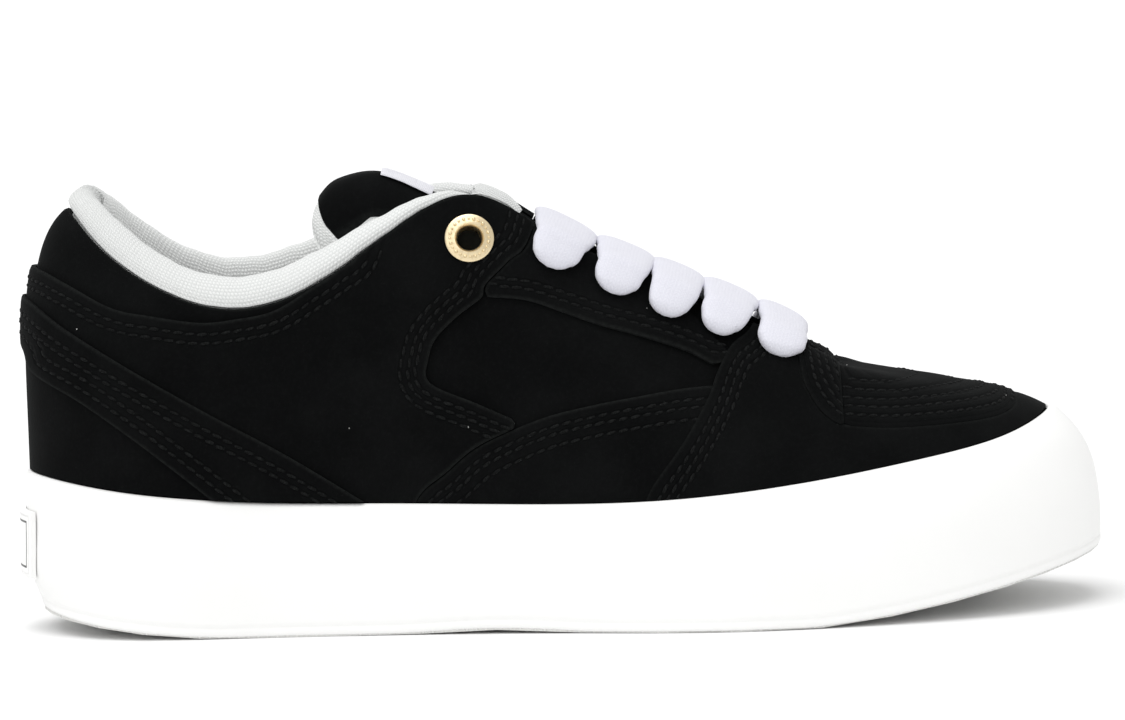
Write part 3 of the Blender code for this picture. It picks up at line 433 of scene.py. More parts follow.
FAR = 0.3
ZONES = {
    "below_quarter_top": Zone(
        Seam.QUARTER_TOP.line() + [(FAR, FAR), (FAR, -FAR), (-FAR, -FAR), (-FAR, 0.09)]),
    "behind_quarter_front": Zone(
        Seam.QUARTER_FRONT.line() + [(0.05, 0.0285), (0.05, -FAR), (-FAR, -FAR), (-FAR, FAR), (0.0, FAR)]),
    "below_strap_high": Zone(Seam.STRAP_HIGH.line() + [(FAR, -FAR), (-FAR, -FAR)]),
    "above_strap_low": Zone(Seam.STRAP_LOW.line() + [(FAR, -FAR), (FAR, FAR), (-FAR, FAR)]),
    "above_eyestay_low": Zone(Seam.EYESTAY_LOW.line() + [(FAR, 0.06), (FAR, FAR), (-0.02, FAR)]),
    "below_side_top": Zone(Seam.SIDE_PANEL_TOP.line() + [(FAR, 0.066), (FAR, -FAR), (-0.05, -FAR)]),
    "ahead_of_vamp_rear": Zone(Seam.VAMP_REAR.line() + [(FAR, FAR), (FAR, -FAR), (0.0, -FAR)]),
    "inside_toe_edge": Zone(Seam.TOE_EDGE.line() + [(0.13, FAR), (0.06, FAR)]),
}


def crossing_lines(depth: np.ndarray, level: float, s: np.ndarray, h: np.ndarray) -> list[np.ndarray]:
    """Trace where a field over a grid passes a level.

    Args:
        depth: The field at each grid point.
        level: The value to follow.
        s: Station of each grid point.
        h: Level up the wall of each grid point.

    Returns:
        Lines of (station, level) pairs.
    """
    g = depth - level
    rows, columns = g.shape
    over = g > 0
    mixed = ((over[:-1, :-1] != over[1:, :-1]) | (over[:-1, :-1] != over[:-1, 1:])
             | (over[:-1, :-1] != over[1:, 1:]))
    links: dict[tuple, list[tuple]] = {}
    spots: dict[tuple, tuple[float, float]] = {}
    for i, j in np.argwhere(mixed):
        found = []
        for a, b in (((i, j), (i + 1, j)), ((i + 1, j), (i + 1, j + 1)),
                     ((i, j + 1), (i + 1, j + 1)), ((i, j), (i, j + 1))):
            if over[a] != over[b]:
                key = (*a, *b)
                if key not in spots:
                    t = g[a] / (g[a] - g[b])
                    spots[key] = (s[a] + t * (s[b] - s[a]), h[a] + t * (h[b] - h[a]))
                found.append(key)
        for a, b in zip(found[::2], found[1::2]):
            links.setdefault(a, []).append(b)
            links.setdefault(b, []).append(a)
    lines, used = [], set()
    ends = sorted(k for k, v in links.items() if len(v) == 1)
    for start in ends + sorted(links):
        if start in used:
            continue
        chain, here = [start], start
        used.add(start)
        while True:
            onward = [k for k in links[here] if k not in used]
            if not onward:
                break
            here = onward[0]
            used.add(here)
            chain.append(here)
        if len(chain) > 3:
            lines.append(np.array([spots[k] for k in chain]))
    return lines


Number = "float | Signal"


class Signal:
    """A shader socket that takes part in arithmetic."""

    def __init__(self, recipe: "Recipe", socket: bpy.types.NodeSocket) -> None:
        """Wrap one socket of a recipe's node tree."""
        self.recipe = recipe
        self.socket = socket

    def maths(self, operation: str, *others: Number, last: bool = False, clamp: bool = False) -> "Signal":
        """Add a Math node.

        Args:
            operation: The node's operation.
            others: The other terms.
            last: Whether this signal comes after the others.
            clamp: Whether the result is kept from 0 to 1.

        Returns:
            The result.
        """
        terms = [*others, self] if last else [self, *others]
        return self.recipe.node("ShaderNodeMath", {"operation": operation, "use_clamp": clamp},
                                dict(enumerate(terms)))

    def __add__(self, other: Number) -> "Signal":
        """Add."""
        return self.maths("ADD", other)

    def __radd__(self, other: Number) -> "Signal":
        """Add to a number."""
        return self.maths("ADD", other)

    def __sub__(self, other: Number) -> "Signal":
        """Subtract."""
        return self.maths("SUBTRACT", other)

    def __rsub__(self, other: Number) -> "Signal":
        """Subtract from a number."""
        return self.maths("SUBTRACT", other, last=True)

    def __mul__(self, other: Number) -> "Signal":
        """Multiply."""
        return self.maths("MULTIPLY", other)

    def __rmul__(self, other: Number) -> "Signal":
        """Multiply a number."""
        return self.maths("MULTIPLY", other)

    def __truediv__(self, other: Number) -> "Signal":
        """Divide."""
        return self.maths("DIVIDE", other)

    def __abs__(self) -> "Signal":
        """Drop the sign."""
        return self.maths("ABSOLUTE")

    def sine(self) -> "Signal":
        """Sine of an angle in radians."""
        return self.maths("SINE")

    def floor(self) -> "Signal":
        """Round down."""
        return self.maths("FLOOR")

    def part(self) -> "Signal":
        """What is left over whole numbers."""
        return self.maths("FRACT")

    def least(self, other: Number) -> "Signal":
        """The smaller of two."""
        return self.maths("MINIMUM", other)

    def most(self, other: Number) -> "Signal":
        """The larger of two."""
        return self.maths("MAXIMUM", other)

    def between(self, low: float, high: float) -> "Signal":
        """Rise smoothly from 0 at low to 1 at high."""
        return self.recipe.node("ShaderNodeMapRange", {"interpolation_type": "SMOOTHSTEP"},
                                {"Value": self, "From Min": low, "From Max": high})

    def near(self, place: float, reach: float) -> "Signal":
        """A soft ridge of height 1 where the signal is at a place."""
        return 1 - abs(self - place).between(0.0, reach)


Colour = tuple[float, float, float]


class Recipe:
    """The node tree of one finish."""

    def __init__(self, name: str) -> None:
        """Start a material with a Principled shader."""
        self.material = bpy.data.materials.new(name)
        self.material.use_nodes = True
        self.tree = self.material.node_tree
        self.shader = self.tree.nodes["Principled BSDF"]
        self.place = self.node("ShaderNodeTexCoord", output="Object")

    def node(self, kind: str, settings: dict | None = None, sockets: dict | None = None,
             output: str | int = 0) -> Signal:
        """Add any node.

        Args:
            kind: The node's type.
            settings: Its own settings, set first.
            sockets: Values or signals by socket name or number.
            output: The output that is wanted.

        Returns:
            The chosen output.
        """
        made = self.tree.nodes.new(kind)
        for key, value in (settings or {}).items():
            setattr(made, key, value)
        for key, value in (sockets or {}).items():
            self.feed(made.inputs[key], value)
        return Signal(self, made.outputs[output])

    def feed(self, socket: bpy.types.NodeSocket, value: "Signal | float | Sequence[float]") -> None:
        """Link a signal into a socket, or set its value.

        Args:
            socket: The input.
            value: A signal, a number or a colour of three numbers.
        """
        if isinstance(value, Signal):
            self.tree.links.new(value.socket, socket)
        elif isinstance(value, tuple) and socket.type == "RGBA":
            socket.default_value = (*value[:3], 1.0)
        else:
            socket.default_value = value

    def attribute(self, name: str) -> Signal:
        """A number that is kept at each point of the piece."""
        return self.node("ShaderNodeAttribute", {"attribute_name": name}, output="Fac")

    def noise(self, scale: float, detail: float = 2.0, rough: float = 0.5,
              stretch: Sequence[float] | None = None) -> Signal:
        """Soft noise on object coordinates.

        Args:
            scale: Features per metre, about.
            detail: How many finer layers it has.
            rough: How strong the finer layers are.
            stretch: Scale of the coordinates along each axis.

        Returns:
            The noise, about 0.5 in the middle.
        """
        place = self.place
        if stretch is not None:
            place = self.node("ShaderNodeMapping", sockets={"Vector": place, "Scale": tuple(stretch)})
        return self.node("ShaderNodeTexNoise",
                         sockets={"Vector": place, "Scale": scale, "Detail": detail, "Roughness": rough})

    def mix(self, factor: Signal, a: "Signal | Colour", b: "Signal | Colour") -> Signal:
        """Mix two colours."""
        return self.node("ShaderNodeMix", {"data_type": "RGBA"}, {0: factor, 6: a, 7: b}, output=2)

    def bump(self, height: Signal, distance: float, strength: float = 1.0,
             under: Signal | None = None) -> Signal:
        """Turn a height into a normal.

        Args:
            height: The height, from 0 to about 1.
            distance: What a height of 1 stands for, in metres.
            strength: Share of the effect.
            under: A normal that this one goes over.

        Returns:
            The normal.
        """
        sockets = {"Height": height, "Distance": distance, "Strength": strength}
        if under is not None:
            sockets["Normal"] = under
        return self.node("ShaderNodeBump", None, sockets)

    def dress(self, **parts: "Signal | float | Colour") -> bpy.types.Material:
        """Set the shader's sockets.

        Args:
            parts: Values or signals by socket name, with underscores for spaces.

        Returns:
            The finished material.
        """
        for key, value in parts.items():
            self.feed(self.shader.inputs[key.replace("_", " ")], value)
        base = parts.get("Base_Color")
        if isinstance(base, tuple):
            self.material.diffuse_color = (*base, 1.0)
        return self.material


@dataclass(frozen=True)
class Finish:
    """A named finish, which can make its material."""

    name: str

    def material(self) -> bpy.types.Material:
        """Make the material; each finish has its own."""
        raise NotImplementedError


@dataclass(frozen=True)
class Suede(Finish):
    """Black napped leather with sewn grooves darkened by painted shade, and paler cut edges; seams gives
    grooves by field, in mm.
    """

    seams: tuple[tuple[str, tuple[float, ...]], ...] = ()
    dark: Colour = (0.0020, 0.0022, 0.0023)
    pale: Colour = (0.0046, 0.0050, 0.0051)
    edge: Colour = (0.0098, 0.0108, 0.0104)
    worn: float = 1.0

    def material(self) -> bpy.types.Material:
        """Make the material.

        Returns:
            A material of its own name, ready for a piece.
        """
        r = Recipe(self.name)
        patches = r.noise(38, 3, 0.6)
        nap = r.noise(900, 3, 0.7)
        hairs = r.noise(2600, 2, 0.6, (1.0, 1.0, 0.45))
        tone = (patches.between(0.35, 0.70) * 0.55 + nap.between(0.40, 0.75) * 0.45).least(1.0)
        colour = r.mix(tone, self.dark, self.pale)
        rim = r.attribute("rim")
        worn = (1 - rim.between(0.1 * MM, 1.1 * MM)) * (0.45 + 0.55 * nap.between(0.35, 0.65)) * self.worn
        colour = r.mix(worn.least(1.0), colour, self.edge)
        height = nap * 0.35 + hairs * 0.30 + patches * 0.25
        groove_depth_and_shade: Signal | None = None
        for zone, places in self.seams:
            line = r.attribute(zone)
            for place in places:
                ridge = line.near(place * MM, 0.85 * MM)
                groove_depth_and_shade = ridge if groove_depth_and_shade is None else groove_depth_and_shade.most(ridge)
        normal = r.bump(height, 0.00022, 0.75)
        if groove_depth_and_shade is not None:
            inside = rim.between(0.4 * MM, 1.2 * MM)
            normal = r.bump(1 - groove_depth_and_shade * inside, 0.00040, 0.9, normal)
            # painted shade: the stitch grooves are mixed towards the dark colour
            colour = r.mix(groove_depth_and_shade * 0.35, colour, self.dark)
        rough = 0.93 - 0.10 * patches
        return r.dress(Base_Color=colour, Roughness=rough, Normal=normal, Sheen_Weight=0.018,
                       Sheen_Roughness=0.42, Sheen_Tint=(0.62, 0.66, 0.65), Specular_IOR_Level=0.05)


@dataclass(frozen=True)
class Rubber(Finish):
    """White vulcanised rubber, faintly uneven in tone, gloss and surface."""

    tint: Colour = (0.935, 0.935, 0.925)
    shade: Colour = (0.88, 0.88, 0.865)
    roughness: float = 0.46

    def material(self) -> bpy.types.Material:
        """Make the material.

        Returns:
            A material of its own name, ready for a piece.
        """
        r = Recipe(self.name)
        cloud = r.noise(22, 3, 0.55)
        grain = r.noise(1500, 2, 0.6)
        colour = r.mix(cloud.between(0.40, 0.85) * 0.35, self.tint, self.shade)
        height = grain * 0.25 + r.noise(95, 2, 0.5) * 0.75
        normal = r.bump(height, 0.00018, 0.5)
        return r.dress(Base_Color=colour, Roughness=self.roughness + 0.12 * cloud, Normal=normal,
                       Coat_Weight=0.05 + 0.05 * cloud)


@dataclass(frozen=True)
class FramedRubber(Rubber):
    """White rubber with a thin plain black border line, on a piece that keeps its edge distance."""

    line: float = 2.9
    width: float = 0.28

    def material(self) -> bpy.types.Material:
        """Make the material.

        Returns:
            A material of its own name, ready for a piece.
        """
        r = Recipe(self.name)
        grain = r.noise(1500, 2, 0.6)
        rim = r.attribute("rim")
        border = 1 - abs(rim - self.line * MM).between(self.width * 0.8 * MM, self.width * 1.2 * MM)
        colour = r.mix(border, self.tint, (0.012, 0.012, 0.013))
        normal = r.bump(grain, 0.00008, 0.5, r.bump(rim.between(0.9 * MM, 1.5 * MM) * -1.0 + 1, 0.0004, 0.8))
        return r.dress(Base_Color=colour, Roughness=0.5 - 0.1 * border, Normal=normal)


@dataclass(frozen=True)
class TreadRubber(Finish):
    """Off-white sole rubber with a fine moulded diamond texture underneath, painted shade in the grooves
    between the diamonds, and dust.
    """

    def material(self) -> bpy.types.Material:
        """Make the material.

        Returns:
            A material of its own name, ready for a piece.
        """
        r = Recipe(self.name)
        x, y = (r.node("ShaderNodeSeparateXYZ", sockets={0: r.place}, output=axis) for axis in "XY")
        one = ((x + y) / (2.6 * MM)).part()
        two = ((x - y) / (2.6 * MM)).part()
        cell_height_and_shade = one.near(0.5, 0.42) * two.near(0.5, 0.42)
        cloud = r.noise(30, 3, 0.6)
        dust = r.noise(420, 3, 0.7).between(0.50, 0.85)
        # painted shade: the grooves between the diamond cells get the darker colour
        colour = r.mix(cell_height_and_shade, (0.70, 0.70, 0.68), (0.83, 0.83, 0.81))
        colour = r.mix(dust * cloud, colour, (0.56, 0.55, 0.52))
        normal = r.bump(cell_height_and_shade, 0.0006, 0.8)
        return r.dress(Base_Color=colour, Roughness=0.62 + 0.12 * cloud, Normal=normal)


@dataclass(frozen=True)
class Knit(Finish):
    """Off-white knitted mesh that follows the piece: small loops in staggered rows, with painted shade in
    the gaps between the loops.
    """

    wale: float = 1.25
    course: float = 1.05
    tint: Colour = (0.84, 0.85, 0.84)
    shade: Colour = (0.64, 0.655, 0.645)

    def material(self) -> bpy.types.Material:
        """Make the material.

        Returns:
            A material of its own name, ready for a piece.
        """
        r = Recipe(self.name)
        across = r.attribute("across") / (self.course * MM)
        shift = (across.floor() * 0.5).part()
        along = r.attribute("along") / (self.wale * MM) + shift
        loop = along.part().near(0.5, 0.52) * across.part().near(0.5, 0.55)
        threads = ((along * 25.1).sine() * 0.5 + 0.5) * 0.18
        fuzz = r.noise(1900, 3, 0.7)
        height = loop + threads + fuzz * 0.25
        # painted shade: the gaps between loops are mixed towards the shade colour
        holes = 1 - loop.between(0.02, 0.40)
        colour = r.mix((holes * 0.75).least(1.0), self.tint, self.shade)
        colour = r.mix(r.noise(60, 2, 0.5).between(0.45, 0.8) * 0.20, colour, (0.78, 0.79, 0.78))
        return r.dress(Base_Color=colour, Roughness=0.86 + 0.1 * fuzz, Normal=r.bump(height, 0.00024, 0.75),
                       Sheen_Weight=0.12, Specular_IOR_Level=0.3)


@dataclass(frozen=True)
class LaceWeave(Finish):
    """Fat white tubular lace with a fine slanting weave, painted shade between its ribs, random soft tone
    and soft lint.
    """

    tint: Colour = (0.745, 0.745, 0.812)
    shade: Colour = (0.600, 0.600, 0.675)

    def material(self) -> bpy.types.Material:
        """Make the material.

        Returns:
            A material of its own name, ready for a piece.
        """
        r = Recipe(self.name)
        along = r.attribute("along") / (1.0 * MM)
        across = r.attribute("across") / (0.95 * MM)
        side = (across / 2).part().between(0.48, 0.52)
        slant = along + across * (side * 2 - 1) * 0.9
        rib = slant.part().near(0.5, 0.5)
        column = across.part().near(0.5, 0.55)
        fuzz = r.noise(1300, 4, 0.75)
        soft = r.noise(160, 2, 0.5)
        lint = r.noise(420, 4, 0.8)
        height = rib * column * 0.28 + fuzz * 0.6 + soft * 0.45 + lint * 0.6
        # painted shade between the woven ribs, plus random soft tone
        colour = r.mix((1 - (rib * column).between(0.0, 0.4)) * 0.22 + soft.between(0.5, 0.9) * 0.18,
                       self.tint, self.shade)
        return r.dress(Base_Color=colour, Roughness=0.88 + 0.1 * fuzz, Normal=r.bump(height, 0.00036, 0.7),
                       Sheen_Weight=0.25, Sheen_Roughness=0.5, Specular_IOR_Level=0.2)


@dataclass(frozen=True)
class Brass(Finish):
    """Pale gold turned metal with fine turning lines and small tarnish spots."""

    def material(self) -> bpy.types.Material:
        """Make the material.

        Returns:
            A material of its own name, ready for a piece.
        """
        r = Recipe(self.name)
        spots = r.noise(900, 3, 0.7)
        ring = (r.attribute("along") / (0.32 * MM)).part().near(0.5, 0.5)
        colour = r.mix(spots.between(0.45, 0.8) * 0.6, (0.86, 0.72, 0.47), (0.52, 0.40, 0.24))
        return r.dress(Base_Color=colour, Metallic=1.0, Roughness=0.22 + 0.25 * spots,
                       Normal=r.bump(ring * 0.3 + spots, 0.00006, 0.6))


@dataclass(frozen=True)
class Cloth(Finish):
    """Plain woven cloth, for the blank label and the insole's top, with painted shade between its threads.
    """

    tint: Colour
    shade: Colour
    thread: float = 0.55

    def material(self) -> bpy.types.Material:
        """Make the material.

        Returns:
            A material of its own name, ready for a piece.
        """
        r = Recipe(self.name)
        along = (r.attribute("along") / (self.thread * MM)).part().near(0.5, 0.55)
        across = (r.attribute("across") / (self.thread * MM)).part().near(0.5, 0.55)
        weave = along * across
        cloud = r.noise(120, 3, 0.6)
        # painted shade between the threads, plus random cloudy tone
        colour = r.mix((1 - weave.between(0.05, 0.5)) * 0.5 + cloud.between(0.45, 0.8) * 0.25,
                       self.tint, self.shade)
        return r.dress(Base_Color=colour, Roughness=0.84 + 0.08 * cloud,
                       Normal=r.bump(weave + cloud * 0.4, 0.00018, 0.8), Sheen_Weight=0.1)


@dataclass(frozen=True)
class Thread(Finish):
    """Twisted sewing thread, a little glossier than the nap around it, with a painted sheen: a lighter
    colour along the twist.
    """

    tint: Colour = (0.0030, 0.0033, 0.0033)
    painted_sheen: Colour = (0.0120, 0.0130, 0.0128)

    def material(self) -> bpy.types.Material:
        """Make the material.

        Returns:
            A material of its own name, ready for a piece.
        """
        r = Recipe(self.name)
        twist = r.noise(2600, 2, 0.6, (1.0, 1.0, 0.5))
        # painted sheen: the twist noise lightens the colour where the strands would catch the light
        colour = r.mix(twist.between(0.4, 0.7), self.tint, self.painted_sheen)
        return r.dress(Base_Color=colour, Roughness=0.68 + 0.2 * twist, Normal=r.bump(twist, 0.00012, 0.9),
                       Specular_IOR_Level=0.09)


@dataclass(frozen=True)
class Lint(Finish):
    """Pale specks and short fibres that cling to the nap."""

    def material(self) -> bpy.types.Material:
        """Make the material.

        Returns:
            A material of its own name, ready for a piece.
        """
        r = Recipe(self.name)
        tone = r.noise(300, 1, 0.5)
        colour = r.mix(tone, (0.22, 0.22, 0.21), (0.62, 0.62, 0.60))
        return r.dress(Base_Color=colour, Roughness=0.9)


def dress_piece(piece: bpy.types.Object, finish: Finish,
                nodes: Iterable[str] = ()) -> bpy.types.Object:
    """Give a piece its finish, its body and the solids that it stands for.

    Args:
        piece: The piece.
        finish: Its finish.
        nodes: The solids that it replaces.

    Returns:
        The piece.
    """
    piece.data.materials.clear()
    piece.data.materials.append(finish.material())
    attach(piece, BODY)
    if nodes:
        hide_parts(*nodes)
    LOG.info("%s: %d faces", piece.name, len(piece.data.polygons))
    return piece


def as_object(name: str, bm: bmesh.types.BMesh, sharp: float = 50.0) -> bpy.types.Object:
    """Turn a bmesh into an object at the origin, smooth but for its sharp edges.

    Args:
        name: The object's name.
        bm: The mesh, which is freed.
        sharp: Angle in degrees above which an edge stays sharp.

    Returns:
        The object.
    """
    mesh = bpy.data.meshes.new(name)
    bm.to_mesh(mesh)
    bm.free()
    mesh.shade_smooth()
    mesh.set_sharp_from_angle(angle=math.radians(sharp))
    made = bpy.data.objects.new(name, mesh)
    bpy.context.scene.collection.objects.link(made)
    return made


def grid(rows: int, columns: int) -> bmesh.types.BMesh:
    """Make a flat grid whose points carry their number.

    Args:
        rows: Points in one direction.
        columns: Points in the other; the numbers run along these first.

    Returns:
        The mesh.
    """
    bm = bmesh.new()
    bmesh.ops.create_grid(bm, x_segments=rows - 1, y_segments=columns - 1, size=1.0)
    number = bm.verts.layers.int.new("number")
    for vertex in bm.verts:
        i = round((vertex.co.x + 1) / 2 * (rows - 1))
        j = round((vertex.co.y + 1) / 2 * (columns - 1))
        vertex[number] = i * columns + j
    return bm


def mould(bm: bmesh.types.BMesh, points: np.ndarray, facts: dict[str, np.ndarray]) -> None:
    """Move numbered points to their places and keep facts about each.

    Args:
        bm: A mesh whose points carry numbers.
        points: A place for each number.
        facts: Values for each number, by attribute name.
    """
    number = bm.verts.layers.int["number"]
    flat = points.reshape(-1, 3)
    layers = [(bm.verts.layers.float.new(name), values.ravel()) for name, values in facts.items()]
    for vertex in bm.verts:
        k = vertex[number]
        vertex.co = flat[k]
        for layer, values in layers:
            vertex[layer] = values[k]


def loft(name: str, sections: np.ndarray, facts: dict[str, np.ndarray], closed: bool = True,
         sharp: float = 50.0, fill_ends: bool = True) -> bpy.types.Object:
    """A body through a row of sections.

    Args:
        name: The object's name.
        sections: Points as rows, columns, 3.
        facts: Values at each point, by attribute name.
        closed: Whether each section closes on itself.
        sharp: Angle in degrees above which an edge stays sharp.
        fill_ends: Whether the open ends are closed.

    Returns:
        The object.
    """
    if closed:
        sections = np.concatenate([sections, sections[:, :1]], axis=1)
        facts = {k: np.concatenate([v, v[:, :1]], axis=1) for k, v in facts.items()}
    bm = grid(*sections.shape[:2])
    mould(bm, sections, facts)
    bmesh.ops.remove_doubles(bm, verts=bm.verts, dist=1e-6)
    if fill_ends:
        bmesh.ops.holes_fill(bm, edges=bm.edges, sides=0)
    bmesh.ops.recalc_face_normals(bm, faces=bm.faces)
    return as_object(name, bm, sharp)


def shell(name: str, front: np.ndarray, back: np.ndarray, facts: dict[str, np.ndarray]) -> bpy.types.Object:
    """A thin body between two faces.

    Args:
        name: The object's name.
        front: Points of the outer face as rows, columns, 3.
        back: Points of the inner face, in the same order.
        facts: Values at each point of a face, by attribute name.

    Returns:
        The object.
    """
    ring = np.concatenate([front, back[:, ::-1]], axis=1)
    both = {k: np.concatenate([v, v[:, ::-1]], axis=1) for k, v in facts.items()}
    return loft(name, ring, both, sharp=60)


@dataclass
class Creases:
    """Soft waves that the leather took on the last.

    Each fold is placed in side view: x, z, side, turn in degrees, length, width and height.
    """

    folds: tuple[tuple[float, float, int, float, float, float, float], ...] = (
        (0.045, 0.045, -1, 62, 0.016, 0.0050, -0.00045),
        (0.052, 0.050, -1, 66, 0.014, 0.0045, 0.00030),
        (0.038, 0.052, -1, 60, 0.012, 0.0040, -0.00030),
        (0.046, 0.046, 1, 64, 0.018, 0.0050, -0.00040),
        (-0.030, 0.060, -1, 100, 0.020, 0.0080, -0.00040),
        (-0.078, 0.068, -1, 20, 0.026, 0.0090, 0.00035),
        (-0.118, 0.088, -1, 75, 0.015, 0.0060, -0.00030),
        (0.010, 0.070, -1, -35, 0.022, 0.0060, -0.00030),
        (-0.060, 0.055, 1, 40, 0.024, 0.0080, -0.00040),
        (0.088, 0.050, -1, 10, 0.018, 0.0060, 0.00030),
    )

    def lift(self, points: np.ndarray) -> np.ndarray:
        """Say how far the leather stands out or in.

        Args:
            points: Points of the wall.

        Returns:
            The lift at each point in metres.
        """
        x, y, z = points[..., 0], points[..., 1], points[..., 2]
        wave = 0.00016 * np.sin(61 * x + 1.3) * np.sin(83 * z + 40 * y) + 0.00010 * np.sin(190 * x + 120 * z)
        for fx, fz, side, turn, length, width, height in self.folds:
            angle = math.radians(turn)
            along = (x - fx) * math.cos(angle) + (z - fz) * math.sin(angle)
            off = -(x - fx) * math.sin(angle) + (z - fz) * math.cos(angle)
            here = np.sign(y) == side
            wave = wave + height * np.exp(-((along / length) ** 2) - (off / width) ** 2) * here
        return wave


CREASES = Creases()
TALL = 0.1


@dataclass
class Panel:
    """One cut piece of leather or lining on the wall, trimmed in side view and closed on all sides.

    Its inner and outer face lie at low and high over the wall. Its seams give, for a field of ZONES, the
    distances in mm at which rows of stitches run.
    """

    name: str
    low: float
    high: float
    start: float
    end: float
    zone: Zone | None
    finish: Finish
    nodes: tuple[str, ...] = ()
    seams: tuple[tuple[str, tuple[float, ...]], ...] = ()
    cell: float = 0.0012
    foot: float | None = None
    top: float = 1.0
    rounding: float = 0.00035
    feather: float = 0.0014
    holes: tuple[tuple[Vector, float], ...] = ()
    slot: str = "suede"
    stitch_margin: float = 0.0009
    stitch_level: float = 0.97
    stitches: list[np.ndarray] = field(default_factory=list)

    def params(self) -> tuple[np.ndarray, np.ndarray]:
        """Lay out the uncut grid.

        Returns:
            Station and level of each grid point.
        """
        reach = abs(self.end - self.start)
        across = max(int(reach * FORM.perimeter / self.cell), 8) + 1
        s = np.linspace(self.start, self.end, across)
        if self.foot is None:
            first = FORM.level_of(s, FORM.band_top(s) + FORM.gap)
        else:
            first = np.full_like(s, self.foot)
        middle = FORM.point(np.full(60, s[across // 2]), np.linspace(0, 1, 60))
        tall = float(np.linalg.norm(np.diff(middle, axis=0), axis=1).sum()) * (self.top - first.mean())
        up = max(int(tall / self.cell), 6) + 1
        t = np.linspace(0, 1, up)
        return np.repeat(s[:, None], up, axis=1), first[:, None] + (self.top - first[:, None]) * t

    def depth(self, s: np.ndarray, h: np.ndarray) -> np.ndarray:
        """Measure how far inside the panel's cut edge points of the wall lie.

        Args:
            s: Stations.
            h: Levels.

        Returns:
            The distances, negative outside the edge.
        """
        at = FORM.wall(s, h, (self.low + self.high) / 2)
        depth = np.full(s.shape, 1.0) if self.zone is None else self.zone.depth(at)
        for centre, radius in self.holes:
            depth = np.minimum(depth, np.linalg.norm(at - np.array(centre), axis=-1) - radius)
        return depth

    def surface(self, depth: np.ndarray, h: np.ndarray) -> np.ndarray:
        """Offset of the outer face, which sinks towards the cut edge."""
        return self.high - self.rounding * (1 - np.clip(self.brim(depth, h) / self.feather, 0, 1)) ** 2

    def brim(self, depth: np.ndarray, h: np.ndarray) -> np.ndarray:
        """Distance from the nearest edge, the top one included."""
        return np.minimum(depth, np.abs(self.top - h) * TALL)

    def snapped(self, s: np.ndarray, h: np.ndarray, depth: np.ndarray) -> np.ndarray:
        """Move the grid points next to the cut edge onto it.

        Args:
            s: Station of each grid point, changed in place.
            h: Level of each grid point, changed in place.
            depth: How far inside the edge each point lies.

        Returns:
            1 for points inside the edge, 0 on it and -1 outside.
        """
        share = np.full(depth.shape, np.inf)
        target_s, target_h = s.copy(), h.copy()
        for axis in (0, 1):
            a = (slice(None, -1), slice(None)) if axis == 0 else (slice(None), slice(None, -1))
            b = (slice(1, None), slice(None)) if axis == 0 else (slice(None), slice(1, None))
            cross = (depth[a] > 0) != (depth[b] > 0)
            t = np.where(cross, depth[a] / np.where(cross, depth[a] - depth[b], 1.0), 2.0)
            for here, there, amount in ((a, b, t), (b, a, 1 - t)):
                near = cross & (amount <= 0.5) & (amount < share[here])
                moved_s = s[here] + amount * (s[there] - s[here])
                moved_h = h[here] + amount * (h[there] - h[here])
                share[here] = np.where(near, amount, share[here])
                target_s[here] = np.where(near, moved_s, target_s[here])
                target_h[here] = np.where(near, moved_h, target_h[here])
        moved = np.isfinite(share)
        s[...] = np.where(moved, target_s, s)
        h[...] = np.where(moved, target_h, h)
        return np.where(moved, 0, np.where(depth > 0, 1, -1))

    def trace_row(self, field_values: np.ndarray, distance: float, s: np.ndarray, h: np.ndarray) -> None:
        """Trace one row of stitches beside a seam and keep what lies inside the panel.

        Args:
            field_values: The seam's field over the grid.
            distance: The row's distance from the seam.
            s: Station of each grid point.
            h: Level of each grid point.
        """
        for line in crossing_lines(field_values, distance, s, h):
            depth = self.depth(line[:, 0], line[:, 1])
            keep = (depth > self.stitch_margin) & (line[:, 1] < self.stitch_level)
            offset = self.surface(depth, line[:, 1])
            for run in np.split(np.arange(len(line)), np.flatnonzero(np.diff(keep.astype(int))) + 1):
                if len(run) > 4 and keep[run[0]]:
                    self.stitches.append(np.column_stack([line[run], offset[run]]))

    def build(self) -> bpy.types.Object:
        """Cut the panel, thicken it and dress it."""
        s, h = self.params()
        depth = self.depth(s, h)
        at = FORM.wall(s, h, self.high)
        fields = {zone: ZONES[zone].depth(at) for zone, _ in self.seams}
        for zone, distances in self.seams:
            for distance in distances:
                self.trace_row(fields[zone], distance * MM, s, h)
        marks = self.snapped(s, h, depth).ravel()
        depth = np.where(marks.reshape(depth.shape) == 0, 0.0, depth)
        ring = self.end - self.start > 0.999
        lift = CREASES.lift(at)
        face = FORM.wall(s, h, self.surface(depth, h) + lift).reshape(-1, 3)
        back = FORM.wall(s, h, self.low + lift).reshape(-1, 3)
        facts = {"rim": self.brim(depth, h), "along": s * FORM.perimeter, "across": h * TALL, **fields}
        bm = grid(*s.shape)
        layers = [(bm.verts.layers.float.new(k), v.ravel()) for k, v in facts.items()]
        self.trim(bm, marks, s, h)
        if ring:
            self.weld(bm, *s.shape)
        whole = bmesh.ops.extrude_face_region(
            bm, geom=[*bm.verts, *bm.edges, *bm.faces], use_keep_orig=True)
        outer = {v for v in whole["geom"] if isinstance(v, bmesh.types.BMVert)}
        number = bm.verts.layers.int["number"]
        for vertex in bm.verts:
            k = vertex[number]
            vertex.co = face[k] if vertex in outer else back[k]
            for layer, values in layers:
                vertex[layer] = values[k]
        bmesh.ops.recalc_face_normals(bm, faces=bm.faces)
        return dress_piece(as_object(self.name, bm), self.finish, self.nodes)

